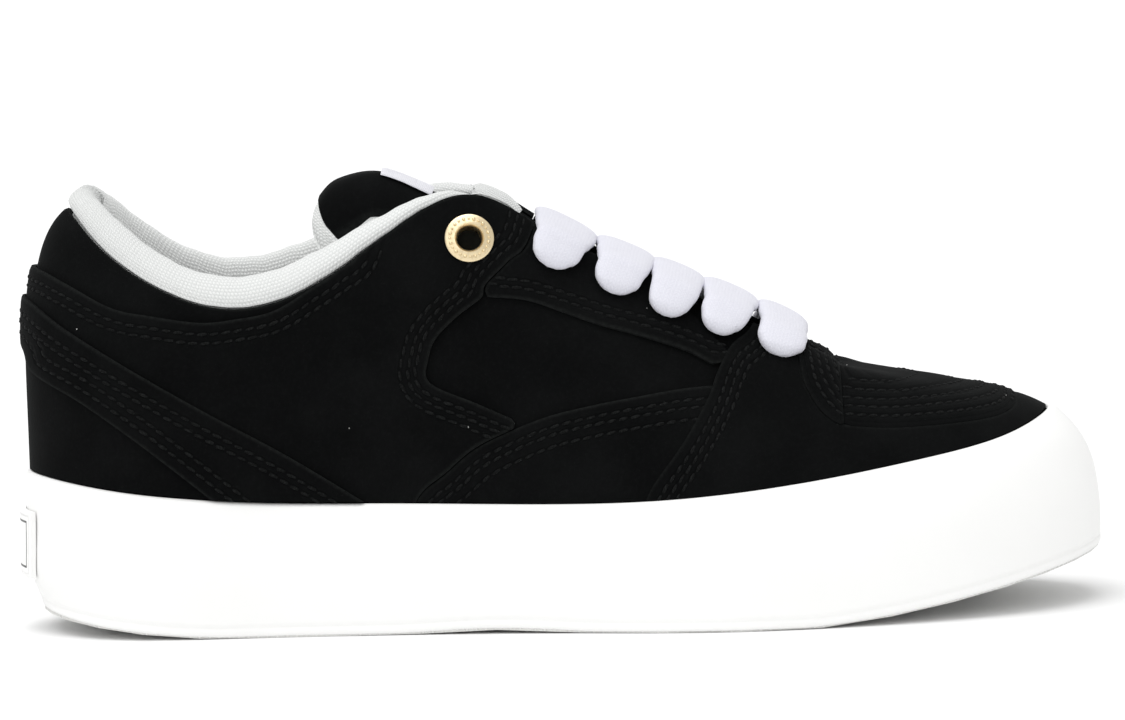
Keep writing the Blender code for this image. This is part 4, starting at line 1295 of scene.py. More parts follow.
    def weld(self, bm: bmesh.types.BMesh, rows: int, columns: int) -> None:
        """Join the last row of a ring to its first.

        Args:
            bm: The ring, whose points carry numbers.
            rows: Its rows.
            columns: Points in a row.
        """
        number = bm.verts.layers.int["number"]
        last = (rows - 1) * columns
        first = {v[number]: v for v in bm.verts if v[number] < columns}
        joined = {v: first[v[number] - last] for v in bm.verts if v[number] >= last}
        bmesh.ops.weld_verts(bm, targetmap=joined)

    def trim(self, bm: bmesh.types.BMesh, marks: np.ndarray, s: np.ndarray, h: np.ndarray) -> None:
        """Cut away what lies outside the panel's edge.

        Args:
            bm: The grid, whose points carry numbers.
            marks: 1, 0 or -1 for each number, as snapped gives them.
            s: Station of each grid point.
            h: Level of each grid point.
        """
        number = bm.verts.layers.int["number"]
        for face in list(bm.faces):
            kinds = [marks[v[number]] for v in face.verts]
            if min(kinds) < 0 < max(kinds):
                zeros = [v for v in face.verts if marks[v[number]] == 0]
                if len(zeros) == 2:
                    bmesh.utils.face_split(face, zeros[0], zeros[1])
        flat_s, flat_h = s.ravel(), h.ravel()
        gone = []
        for face in bm.faces:
            numbers = [v[number] for v in face.verts]
            kinds = marks[numbers]
            if kinds.min() < 0:
                gone.append(face)
            elif kinds.max() == 0:
                middle = self.depth(flat_s[numbers].mean(keepdims=True), flat_h[numbers].mean(keepdims=True))
                if middle[0] < 0:
                    gone.append(face)
        bmesh.ops.delete(bm, geom=gone, context="FACES")
        bmesh.ops.delete(bm, geom=[v for v in bm.verts if not v.link_faces], context="VERTS")


GAP = 0.0003
QUARTER = 0.0016
EYESTAY = 0.0010
SIDE_PANEL = 0.0010
VAMP = 0.0014
STRAP = 0.0011
TOE_PANEL = 0.0020
TOE_COVER = 0.0008
COVER_SINK = 0.0006
WALL = 0.0024
LINING_GAP = 0.0005


@dataclass
class Lacing:
    """Five fat laces over the throat, their runs through the holes, and the eyelets above them."""

    places: tuple[float, ...] = (0.5050, 0.5600, 0.6070, 0.6540, 0.6990)
    eyelet_place: float = 0.4038
    end_widths: tuple[float, ...] = (0.0134, 0.0130, 0.0122, 0.0120, 0.0132)
    top_widths: tuple[float, ...] = (0.0184, 0.0171, 0.0157, 0.0165, 0.0148)
    end_shifts: tuple[float, ...] = (-0.0022, -0.0018, -0.0016, -0.0020, -0.0004)
    reaches: tuple[float, ...] = (0.0192, 0.0192, 0.0214, 0.0222, 0.0244)
    thickness: float = 0.0046
    stops: tuple[tuple[float, float], ...] = ((1.0, -0.0011), (0.78, 0.0), (0.52, 0.0006), (0.26, 0.0006))
    arch: float = 0.0030
    nose: float = 0.0062
    grow_from: float = 0.0035
    grow_over: float = 0.0200
    least: float = 0.0002
    hole_depth: float = 0.0130
    hole_radius: float = 0.0025
    eyelet_depth: float = 0.0126
    eyelet_outer: float = 0.0133
    eyelet_bore: float = 0.0066
    eyelet_tube: float = 0.0076
    flange: float = 0.0011

    def hole(self, x: float, side: int) -> tuple[float, float]:
        """Station and level of a lace hole."""
        return FORM.below_edge(FORM.station_at(x, side), self.hole_depth)

    def eyelet(self, side: int) -> tuple[float, float]:
        """Station and level of a top eyelet."""
        s = FORM.station_at(self.eyelet_place, side)
        return s, FORM.level_below(s, self.eyelet_depth)

    def punched(self, side: int) -> tuple[tuple[Vector, float], ...]:
        """Centres and radii of the lace holes on one side."""
        return tuple((Vector(FORM.wall(*self.hole(x, side), 0.0008)), self.hole_radius) for x in self.places)

    def bored(self, side: int) -> tuple[tuple[Vector, float], ...]:
        """Centre and radius of the top eyelet's bore on one side."""
        return ((Vector(FORM.wall(*self.eyelet(side), 0.0008)), self.eyelet_tube / 2 + GAP),)

    def band(self, name: str, route: np.ndarray, sideways: np.ndarray, widths: np.ndarray,
             thicks: np.ndarray, columns: int = 30) -> bpy.types.Object:
        """A flat padded band along a route.

        Args:
            name: The piece's name.
            route: Points along its middle.
            sideways: Direction across the band at each point.
            widths: Half its width at each point.
            thicks: Half its thickness at each point.
            columns: Points round each section.

        Returns:
            The piece, undressed.
        """
        run = unit(np.gradient(route, axis=0))
        across = unit(sideways - np.sum(sideways * run, axis=1, keepdims=True) * run)
        out = np.cross(across, run)
        turn = np.linspace(0, 2 * math.pi, columns, endpoint=False)
        u = np.sign(np.cos(turn)) * np.abs(np.cos(turn)) ** 0.75
        v = np.sign(np.sin(turn)) * np.abs(np.sin(turn)) ** 0.80
        sections = (route[:, None] + across[:, None] * (widths[:, None] * u)[..., None]
                    + out[:, None] * (thicks[:, None] * v)[..., None])
        length = np.concatenate([[0.0], np.cumsum(np.linalg.norm(np.diff(route, axis=0), axis=1))])
        facts = {"along": np.repeat(length[:, None], columns, axis=1),
                 "across": widths[:, None] * u + 0 * route[:, :1]}
        return loft(name, sections, facts, sharp=180)

    def route(self, x: float, reach: float, rows: int = 120) -> np.ndarray:
        """Find the middle line of a lace from side to side.

        Args:
            x: Place of its holes along the throat.
            reach: How far its ends lie below the throat's edge.
            rows: How many points to make.

        Returns:
            Rows of a point and the direction across the lace there.
        """
        seat = GAP + EYESTAY + self.thickness / 2
        spots = []
        for side in (-1, 1):
            s = FORM.station_at(x, side)
            for share, clearance in self.stops:
                t, h = FORM.below_edge(s, reach * share)
                across = -side * unit(FORM.point(t + 0.002, h) - FORM.point(t - 0.002, h))
                spots.append(np.concatenate([FORM.wall(t, h, seat + clearance), across]))
        over = []
        for share in (0.2, 0.4, 0.6, 0.8):
            rise = np.array([0, 0, self.arch * math.sin(math.pi * share), 0, 0, 0])
            over.append(spots[3] * (1 - share) + spots[7] * share + rise)
        return evenly(smooth_line(np.array([*spots[:4], *over, *spots[:3:-1]]), 16), rows)

    def bar(self, number: int, x: float) -> None:
        """Build one lace, resting on both eyestays and bowed over the tongue.

        Args:
            number: Its number from the top, from 1.
            x: Place of its holes along the throat.
        """
        table = self.route(x, self.reaches[number - 1])
        length = np.linalg.norm(np.diff(table[:, :3], axis=0), axis=1).sum()
        run = np.linspace(0, length, len(table))
        end = np.minimum(run, length - run)
        shape = np.sqrt(np.clip(1 - (1 - np.clip(end / self.nose, 0.0, 1)) ** 2, 0, 1))
        wave = 1 + 0.018 * np.sin(run * 420 + number) + 0.012 * np.sin(run * 910 + 2 * number)
        grow = np.clip((end - self.grow_from) / self.grow_over, 0, 1)
        wide = self.end_widths[number - 1] * (1 - grow) + self.top_widths[number - 1] * grow
        widths = np.maximum(wide / 2 * shape * wave, self.least)
        swell = 1 + 0.06 * np.sin(run * 300)
        thicks = np.maximum(self.thickness / 2 * np.minimum(1, shape * 1.25) * swell, self.least)
        shifts = self.end_shifts[number - 1] * (1 - grow)
        middle_line = table[:, :3] + unit(table[:, 3:]) * shifts[:, None]
        piece = self.band(f"lace_{number}", middle_line, table[:, 3:], widths, thicks)
        dress_piece(piece, LaceWeave(f"lace_{number}"), (f"lace_bar_{number}",))

    def run_inside(self, name: str, side: int, first: float, last: float, goes_out: bool) -> None:
        """A hidden lace run along the inside of the wall, from hole to hole.

        Args:
            name: The piece's name.
            side: -1 on the outer side, 1 on the inner side.
            first: Place of its first hole along the throat.
            last: Place of its last hole, or of the top eyelet.
            goes_out: Whether it passes out through the last.
        """
        s, h = self.hole(first, side)
        s_last, h_last = self.hole(last, side) if goes_out else self.eyelet(side)
        ds, dh = s_last - s, h_last - h
        inner = -WALL - 0.0013
        outside = GAP + EYESTAY + 0.0004
        path = [(s, h, outside), (s, h, -WALL / 2), (s + ds * 0.04, h, inner)]
        path += [(s + ds * t, h + dh * t, inner - 0.0004) for t in (0.25, 0.5, 0.75)]
        if goes_out:
            path += [(s + ds * 0.96, h_last, inner), (s_last, h_last, -WALL / 2), (s_last, h_last, outside)]
            grown = [0.0019, 0.0020, 0.0044, 0.0044, 0.0020, 0.0019]
        else:
            path += [(s + ds * 0.86, h + dh * 0.86, inner)]
            grown = [0.0019, 0.0020, 0.0044, 0.0044, 0.0044, 0.0030]
        points = np.array([FORM.wall(*place) for place in path])
        table = evenly(smooth_line(points, 8), 60)
        widths = np.interp(np.linspace(0, 1, 60), [0, 0.18, 0.3, 0.7, 0.82, 1], grown)
        normal, up = FORM.axes(s, h)
        run = unit(np.gradient(table, axis=0))
        across = np.cross(np.broadcast_to(normal, run.shape), run)
        flat = np.linalg.norm(across, axis=1, keepdims=True) < 0.35
        across = np.where(flat, up, across)
        piece = self.band(name, table, across, widths, np.minimum(widths, 0.0009), 14)
        dress_piece(piece, LaceWeave(name))

    def top_eyelet(self, side: int, name: str) -> None:
        """Build a pale gold ring with a small knurl of dots, its tube through the wall, and a dark disc of
        painted shade inside the bore.

        Args:
            side: -1 on the outer side, 1 on the inner side.
            name: The node it replaces.
        """
        s, h = self.eyelet(side)
        seat = 2 * GAP + QUARTER
        crown = seat + self.flange
        outer, bore, tube = self.eyelet_outer / 2, self.eyelet_bore / 2, self.eyelet_tube / 2
        profile = [
            (bore, -WALL), (bore, seat), (bore + 0.0002, seat + 0.0006), (bore + 0.0007, crown),
            (bore + 0.0014, crown - 0.0001), (outer - 0.0016, crown - 0.0003),
            (outer - 0.0006, crown - 0.0004), (outer - 0.0001, seat + 0.0004), (outer, seat + 0.0001),
            (outer - 0.0002, seat), (tube, seat), (tube, -WALL),
        ]
        bm = bmesh.new()
        ring = [bm.verts.new((r, 0.0, z)) for r, z in profile]
        edges = [bm.edges.new((a, b)) for a, b in zip(ring, ring[1:] + ring[:1])]
        bmesh.ops.spin(bm, geom=ring + edges, cent=(0, 0, 0), axis=(0, 0, 1), angle=2 * math.pi, steps=64,
                       use_merge=True)
        bmesh.ops.remove_doubles(bm, verts=bm.verts, dist=1e-6)
        dots = 24
        for k in range(dots):
            angle = 2 * math.pi * k / dots
            radius = (bore + outer) / 2 + 0.0003
            centre = Vector((radius * math.cos(angle), radius * math.sin(angle), crown - 0.00022))
            size = 0.00046 if k % 2 else 0.00034
            bmesh.ops.create_icosphere(bm, subdivisions=2, radius=size, matrix=Matrix.Translation(centre))
        bmesh.ops.recalc_face_normals(bm, faces=bm.faces)
        along = bm.verts.layers.float.new("along")
        for vertex in bm.verts:
            vertex[along] = vertex.co.xy.length
        normal = Vector(FORM.axes(s, h)[0])
        turn = normal.to_track_quat("Z", "Y").to_matrix().to_4x4()
        bmesh.ops.transform(bm, matrix=Matrix.Translation(Vector(FORM.wall(s, h))) @ turn, verts=bm.verts)
        dress_piece(as_object(f"ring_{name}", bm, 40), Brass(f"brass_{name}"), (name,))
        # painted shade: a dark disc deep in the bore stands for the shade seen through the hole
        shade = bmesh.new()
        round_shade = tube - 0.0001
        bmesh.ops.create_cone(shade, cap_ends=True, segments=40, radius1=round_shade, radius2=round_shade,
                              depth=0.0006)
        deep = Matrix.Translation(Vector(FORM.wall(s, h, -WALL - 0.0002)))
        bmesh.ops.transform(shade, matrix=deep @ turn, verts=shade.verts)
        dress_piece(as_object(f"bore_shade_{name}", shade, 40), Suede(f"bore_shade_{name}"))

    def build(self) -> None:
        """Build all laces and both eyelets."""
        for number, x in enumerate(self.places, 1):
            self.bar(number, x)
        p = self.places
        runs = ((-1, 1, 2), (-1, 3, 4), (1, 0, 1), (1, 2, 3))
        for number, (side, first, last) in enumerate(runs, 1):
            self.run_inside(f"lace_inside_{number}", side, p[first], p[last], True)
        self.run_inside("lace_inside_5", -1, p[0], self.eyelet_place, False)
        self.top_eyelet(-1, "eyelet_lateral")
        self.top_eyelet(1, "eyelet_medial")


LACING = Lacing()


@dataclass
class Upper:
    """The suede upper: its wall, the panels sewn over it, and the lining sheet inside."""

    tab_height: float = 0.0028
    panels: list[Panel] = field(default_factory=list)

    def zones(self) -> dict[str, Zone]:
        """Give the cut lines of the panels, as the part's source has them.

        Returns:
            A field by the panel's name.
        """
        under = (-FAR, -FAR)
        rear = Seam.VAMP_REAR.line(dx=0.0025)
        side_top = Seam.SIDE_PANEL_TOP.line()
        low = Seam.EYESTAY_LOW.line(dx=0.0004)
        above = [p for p in rear if p[1] > low[-1][1]]
        front = [p for p in Seam.QUARTER_FRONT.line(dx=0.0004) if p[1] > low[0][1] + 0.0004]
        toe = Seam.TOE_EDGE.line()
        tab_x = FORM.origin_x + 0.7560 * FORM.sole_length
        raised = [(x, z + 0.0001) for x, z in toe]
        tab_z = float(np.interp(tab_x, *zip(*raised)))
        ahead = [p for p in raised[:-1] if p[0] > tab_x] + [(toe[-1][0] - 0.0004, FAR)]
        behind = [p for p in raised if p[0] < tab_x - 0.0002]
        turns = np.radians(np.arange(0, 360, 6))
        cover = [(FORM.origin_x + (0.8170 + 0.0600 * math.cos(a)) * FORM.sole_length,
                  0.0850 * FORM.sole_length * math.sin(a)) for a in turns]
        return {
            "quarter": Zone(Seam.QUARTER_FRONT.line() + Seam.FINGER.line(dz=0.0004)[::-1] + [under]
                            + Seam.QUARTER_TOP.line()),
            "strap": Zone(Seam.STRAP_LOW.line() + Seam.STRAP_HIGH.line()[::-1]),
            "side": Zone(side_top + [p for p in rear if p[1] < side_top[-1][1]][::-1]),
            "eyestay": Zone(low + above + [(above[-1][0], FAR), (front[0][0], FAR)] + front),
            "vamp": Zone(Seam.VAMP_REAR.line() + toe + [(FAR, toe[-1][1]), (FAR, -FAR)]),
            "toe": Zone([(tab_x, FAR), (tab_x, tab_z)] + ahead),
            "tab": Zone(behind + [(tab_x - 0.0001, tab_z), (tab_x - 0.0001, FAR), (behind[0][0], FAR)]),
            "cover": Zone(cover, flat=True),
        }

    def patch(self, name: str, node: str, low: float, thickness: float, span: tuple[float, float],
              zone: Zone, seams: tuple = (), worn: float = 1.0, **more: object) -> Panel:
        """Plan one suede panel.

        Args:
            name: Its name, which the word suede is put into after the first underscore.
            node: The node it replaces.
            low: Offset of its inner face from the wall.
            thickness: Its thickness.
            span: Its first and last station.
            zone: Its cut line.
            seams: The rows of stitches that its seams press into it, in mm by field.
            worn: How pale its cut edges are.
            more: Further fields of the panel.

        Returns:
            The panel.
        """
        head, _, tail = name.partition("_")
        piece = f"{head}_suede_{tail}" if tail else f"{head}_suede"
        return Panel(piece, low, low + thickness, *span, zone, Suede(f"suede_{name}", seams, worn=worn),
                     (node,), seams=seams, **more)

    def plan(self) -> list[Panel]:
        """List every panel with its place in the stack.

        Returns:
            The panels, in the order in which they are built.
        """
        z = self.zones()
        strap = 2 * GAP + QUARTER
        cover = 2 * GAP + TOE_PANEL - COVER_SINK
        holes = {side: LACING.punched(side) for side in (-1, 1)}
        bores = LACING.bored(-1) + LACING.bored(1)
        rings = (1.2, 3.3, 5.4, 7.4, 9.6, 11.8)
        edge = "inside_toe_edge"
        made = [
            Panel("upper_wall", -WALL, 0.0, 0.0, 1.0, None, Suede("suede_wall"), ("upper",), cell=0.0017,
                  foot=0.0, holes=holes[-1] + holes[1] + bores),
            self.patch("quarter", "quarter", GAP, QUARTER, (-0.33, 0.33), z["quarter"],
                       (("below_quarter_top", (3.0, 5.4)), ("behind_quarter_front", (2.7, 4.6, 6.8))),
                       holes=bores),
            self.patch("strap", "heel_strap", strap, STRAP, (-0.25, 0.25), z["strap"],
                       (("below_strap_high", (4.0, 6.3)), ("above_strap_low", (3.3, 6.0)))),
            self.patch("vamp", "vamp", GAP, VAMP, (0.24, 0.76), z["vamp"],
                       (("ahead_of_vamp_rear", (3.0, 5.0, 7.0)),), 0.6, rounding=0.00022),
            self.patch("toe", "toe_panel", GAP, TOE_PANEL, (0.32, 0.68), z["toe"],
                       ((edge, rings),), 0.0, rounding=0.00062, feather=0.0045),
            self.patch("tab", "throat_tab", GAP, self.tab_height, (0.30, 0.70), z["tab"],
                       ((edge, rings[:5]),), 0.5, rounding=0.0011, feather=0.0040),
            self.patch("cover", "toe_cover", cover, TOE_COVER, (0.34, 0.66), z["cover"],
                       ((edge, rings),), 0.0, foot=0.25, rounding=0.00072, feather=0.0100),
        ]
        for side, word, span in ((-1, "lateral", (0.16, 0.36)), (1, "medial", (0.64, 0.84))):
            made.append(self.patch(f"side_{word}", f"side_panel_{word}", GAP, SIDE_PANEL, span, z["side"],
                                   (("below_side_top", (3.0, 5.0, 8.0)),)))
            made.append(self.patch(f"eyestay_{word}", f"eyestay_{word}", GAP, EYESTAY, span, z["eyestay"],
                                   (("above_eyestay_low", (3.0, 5.0)),), holes=holes[side]))
        return made

    def build(self) -> None:
        """Build every panel, the lining sheet, the stitches and the lint."""
        self.panels = self.plan()
        for panel in self.panels:
            panel.build()
        Panel("lining_sheet", -WALL - 0.0009, -WALL - 0.0003, 0.0, 1.0, None, Knit("knit_sheet"), (),
              cell=0.0022, foot=0.015, top=0.60, rounding=0.0, slot="knit").build()
        Stitching([row for panel in self.panels for row in panel.stitches]).build()
        LintSpecks(self.panels).build()


@dataclass
class Stitching:
    """Every sewn stitch of the upper as one joined piece."""

    rows: list[np.ndarray]
    pitch: float = 0.0032
    length: float = 0.0030
    thickness: float = 0.00108
    spreads: tuple[tuple[float, float], ...] = ((0.88, 1.04), (0.8, 1.12), (-0.12, 0.30))
    seed: int = 3

    def build(self) -> None:
        """Lay a small rounded stitch at each step of every row."""
        pin = bmesh.new()
        bmesh.ops.create_uvsphere(pin, u_segments=6, v_segments=4, radius=0.5)
        mesh = bpy.data.meshes.new("stitch")
        pin.to_mesh(mesh)
        pin.free()
        shape = np.array([v.co for v in mesh.vertices])
        shape = shape[:, [2, 0, 1]] * [self.length, self.thickness, self.thickness * 0.8]
        chance = random.Random(self.seed)
        bm = bmesh.new()
        places = []
        for row in self.rows:
            fine = smooth_line(row[::2], 3) if len(row) > 8 else row
            points = FORM.wall(fine[:, 0], fine[:, 1], fine[:, 2])
            length = np.linalg.norm(np.diff(points, axis=0), axis=1).sum()
            count = int(length / self.pitch)
            if count < 2:
                continue
            spots = evenly(np.column_stack([points, fine]), count + 1)
            run = unit(np.gradient(spots[:, :3], axis=0))
            normal = FORM.axes(spots[:, 3], spots[:, 4])[0]
            side = np.cross(normal, run)
            centre = spots[:, :3] + normal * (CREASES.lift(spots[:, :3])[:, None] - 0.00012)
            for c, a, b, n in zip(centre, run, side, normal):
                bm.from_mesh(mesh)
                long, wide, lean = (chance.uniform(*ends) for ends in self.spreads)
                slant = b + lean * a
                places.append(c + shape[:, :1] * long * (a + 0.10 * b) + shape[:, 1:2] * wide * slant
                              + shape[:, 2:3] * wide * n)
        for vertex, place in zip(bm.verts, np.concatenate(places)):
            vertex.co = place
        bpy.data.meshes.remove(mesh)
        bmesh.ops.recalc_face_normals(bm, faces=bm.faces)
        dress_piece(as_object("stitches", bm, 180), Thread("thread"))


@dataclass
class LintSpecks:
    """A few pale specks and fibres caught in the nap."""

    panels: list[Panel]
    count: int = 110
    seed: int = 7

    def build(self) -> None:
        """Scatter the specks over the outer faces."""
        chance = random.Random(self.seed)
        bm = bmesh.new()
        for _ in range(self.count):
            panel = chance.choice(self.panels[1:])
            s = chance.uniform(panel.start, panel.end)
            h = chance.uniform(0.35, 0.97)
            if panel.depth(np.array([s]), np.array([h]))[0] < 0.0012 or panel.high > 0.0024:
                continue
            size = chance.uniform(0.00011, 0.00022)
            stretch = chance.choice((1.0, 1.3, 2.2))
            centre = FORM.wall(s, h, panel.high + 0.0001)
            turn = Matrix.Rotation(chance.uniform(0, math.pi), 4, Vector(FORM.axes(s, h)[0]))
            place = Matrix.Translation(Vector(centre)) @ turn @ Matrix.Diagonal((stretch, 1.0, 1.0, 1.0))
            bmesh.ops.create_icosphere(bm, subdivisions=1, radius=size, matrix=place)
        dress_piece(as_object("lint", bm, 180), Lint("lint"))


@dataclass
class Collar:
    """The padded collar: a knitted roll over the edge, with the lining that runs down inside it."""

    end_place: float = 0.4300
    binding_places: tuple[float, float] = (0.4180, 0.4680)
    taper: float = 0.014
    inner_rise: float = 0.24
    heel_rise: float = 0.50
    heel_drop: float = 0.53
    heel_pad: float = 0.08
    rise_place: float = 0.075
    rise_reach: float = 0.045
    drop_reach: float = 0.055
    pad_reach: float = 0.095
    upright_reach: float = 0.10
    relax: int = 11
    relax_reach: float = 0.085
    relax_shares: tuple[float, ...] = (0, 0, 0, 0, 0, 0, 0, 0.1, 0.5, 0.9, 1, 1, 1, 1, 0.9, 0.6)

    def build(self) -> None:
        """Build the roll and the binding that carries on from it."""
        self.pad()
        self.binding()

    def binding(self) -> None:
        """A narrow knitted binding over the top of both eyestays, by its section in mm."""
        profile = ((2.1, 0.26), (2.15, 0.60), (1.4, 0.95), (0.2, 1.10), (-1.4, 1.10), (-2.7, 0.80),
                   (-3.3, 0.10), (-3.5, -1.6), (-3.4, -3.4), (-2.85, -3.6), (-2.65, -1.8), (-2.6, 0.24),
                   (-0.6, 0.22), (1.2, 0.22))
        for side, word in ((-1, "lateral"), (1, "medial")):
            s = np.linspace(*(FORM.station_at(x, side) for x in self.binding_places), 70)
            normal, up = FORM.axes(s, np.ones_like(s))
            edge = FORM.point(s, np.ones_like(s))
            tip = np.clip(np.abs(s - s[-1]) * FORM.perimeter / 0.008, 0.03, 1) ** 0.6
            tip = tip * np.clip(np.abs(s - s[0]) * FORM.perimeter / 0.005, 0.25, 1)
            rows = []
            for k in range(len(s)):
                ring = [edge[k] + MM * (a * (tip[k] if a > 0 else 1) * normal[k]
                                        + (h if h < 0.27 else 0.26 + (h - 0.26) * tip[k]) * up[k])
                        for a, h in (*profile, profile[0])]
                rows.append(evenly(smooth_line(ring, 4), 33)[:-1])
            table = np.stack(rows)
            along = np.repeat((s * FORM.perimeter)[:, None], table.shape[1], axis=1)
            piece = loft(f"binding_{word}", table, {"along": along, "across": girths(table)}, sharp=75)
            dress_piece(piece, Knit(f"knit_binding_{word}", wale=0.9, course=0.8))

    def pad(self) -> None:
        """Loft the roll round the heel from eyestay to eyestay."""
        first, last = FORM.station_at(self.end_place, 1) - 1, FORM.station_at(self.end_place, -1)
        s = np.linspace(first + 0.002, last - 0.002, 340)
        base = FORM.level_of(s, FORM.band_top(s))
        low = base + (1 - base) * 0.6
        high = base + (1 - base) * 0.8
        value = FORM.values(s)
        ends = np.clip(np.minimum(s - s[0], s[-1] - s) * FORM.perimeter / self.taper, 0, 1)
        thin = 0.45 + 0.55 * ends * ends * (3 - 2 * ends)
        tall = 1 + self.inner_rise * np.clip(-s / 0.04, 0, 1) * np.clip((s - s[0]) / 0.10, 0, 1)
        tall = tall + self.heel_rise * np.exp(-(((np.abs(s) - self.rise_place) / self.rise_reach) ** 2))
        tall = tall * (1 - self.heel_drop * np.exp(-((s / self.drop_reach) ** 2)))
        thick = 1 + self.heel_pad * np.exp(-((s / self.pad_reach) ** 4))
        roll, pad = value[:, 10] * thin * tall, value[:, 11] * thin * thick
        normal, up = FORM.axes(s, np.ones_like(s))
        upright = np.exp(-((s / self.upright_reach) ** 4))[:, None]
        up = unit(up * (1 - upright) + np.array([0, 0, 1.0]) * upright)
        normal = unit(normal - (normal * up).sum(axis=1, keepdims=True) * up)
        edge = FORM.point(s, np.ones_like(s))
        behind = WALL + LINING_GAP
        lip = 0.15 * WALL
        centre = -(lip + behind + pad) / 2
        half = (behind + pad - lip) / 2

        def rim(across: np.ndarray | float, height: np.ndarray | float) -> np.ndarray:
            """A point beside the wall's edge."""
            return edge + (across + 0 * s)[:, None] * normal + (height + 0 * s)[:, None] * up

        sections = [FORM.wall(s, low, -behind), FORM.wall(s, (low + high) / 2, -behind),
                    FORM.wall(s, high, -behind), rim(-behind, LINING_GAP), rim(-lip * 2, LINING_GAP)]
        for angle in np.radians([12, 35, 62, 90, 118, 145, 165]):
            sections.append(rim(centre + half * math.cos(angle) * 1.03,
                                LINING_GAP + roll * (0.08 + math.sin(angle))))
        for level, share in ((0.5, 1.04), (0.0, 0.95)):
            at = high + (1 - high) * level
            inward, _ = FORM.axes(s, at)
            sections.append(FORM.point(s, at) - (behind + share * pad)[:, None] * inward)
        inward, _ = FORM.axes(s, low)
        sections.append(FORM.point(s, (low + high) / 2) - (behind + 0.72 * pad)[:, None] * inward)
        sections.append(FORM.point(s, low) - (behind + 0.30 * pad)[:, None] * inward)
        control = self.relaxed(np.stack(sections, axis=1), s)
        rows = []
        for section in control:
            wrapped = np.concatenate([section[4:], section[:4], section[4:5]])
            rows.append(evenly(smooth_line(wrapped, 5), 53))
        table = self.puckered(np.stack(rows)[:, :-1], s)
        along = np.repeat((s * FORM.perimeter)[:, None], table.shape[1], axis=1)
        piece = loft("collar_knit", table, {"along": along, "across": girths(table)}, sharp=70)
        dress_piece(piece, Knit("knit_collar"), ("collar_lining",))

    def relaxed(self, control: np.ndarray, s: np.ndarray) -> np.ndarray:
        """Even out the inner side along the heel, where the turn is tighter than the pad is thick.

        Args:
            control: Points in metres, by station and by place round the section.
            s: The stations.

        Returns:
            The points, with those of the inner side averaged with their neighbours.
        """
        reach = 3 * self.relax
        steps = np.arange(-reach, reach + 1)
        weights = np.exp(-0.5 * (steps / self.relax) ** 2)
        longer = np.concatenate([np.repeat(control[:1], reach, axis=0), control,
                                 np.repeat(control[-1:], reach, axis=0)])
        even = sum(weight * longer[reach + step:reach + step + len(control)]
                   for step, weight in zip(steps, weights)) / weights.sum()
        share = np.array(self.relax_shares)[None, :, None]
        share = share * np.exp(-((s / self.relax_reach) ** 4))[:, None, None]
        return control * (1 - share) + even * share

    def puckered(self, table: np.ndarray, s: np.ndarray) -> np.ndarray:
        """Let the foam swell and sink a little along the roll.

        Args:
            table: Points of the roll, by station and by place round the section.
            s: The stations.

        Returns:
            The points, moved.
        """
        middle = table.mean(axis=1, keepdims=True)
        wave = 0.008 * np.sin(s * 260) + 0.004 * np.sin(s * 610 + 1.0) + 0.004 * np.sin(s * 95 + 2.0)
        return middle + (table - middle) * (1 + wave)[:, None, None]


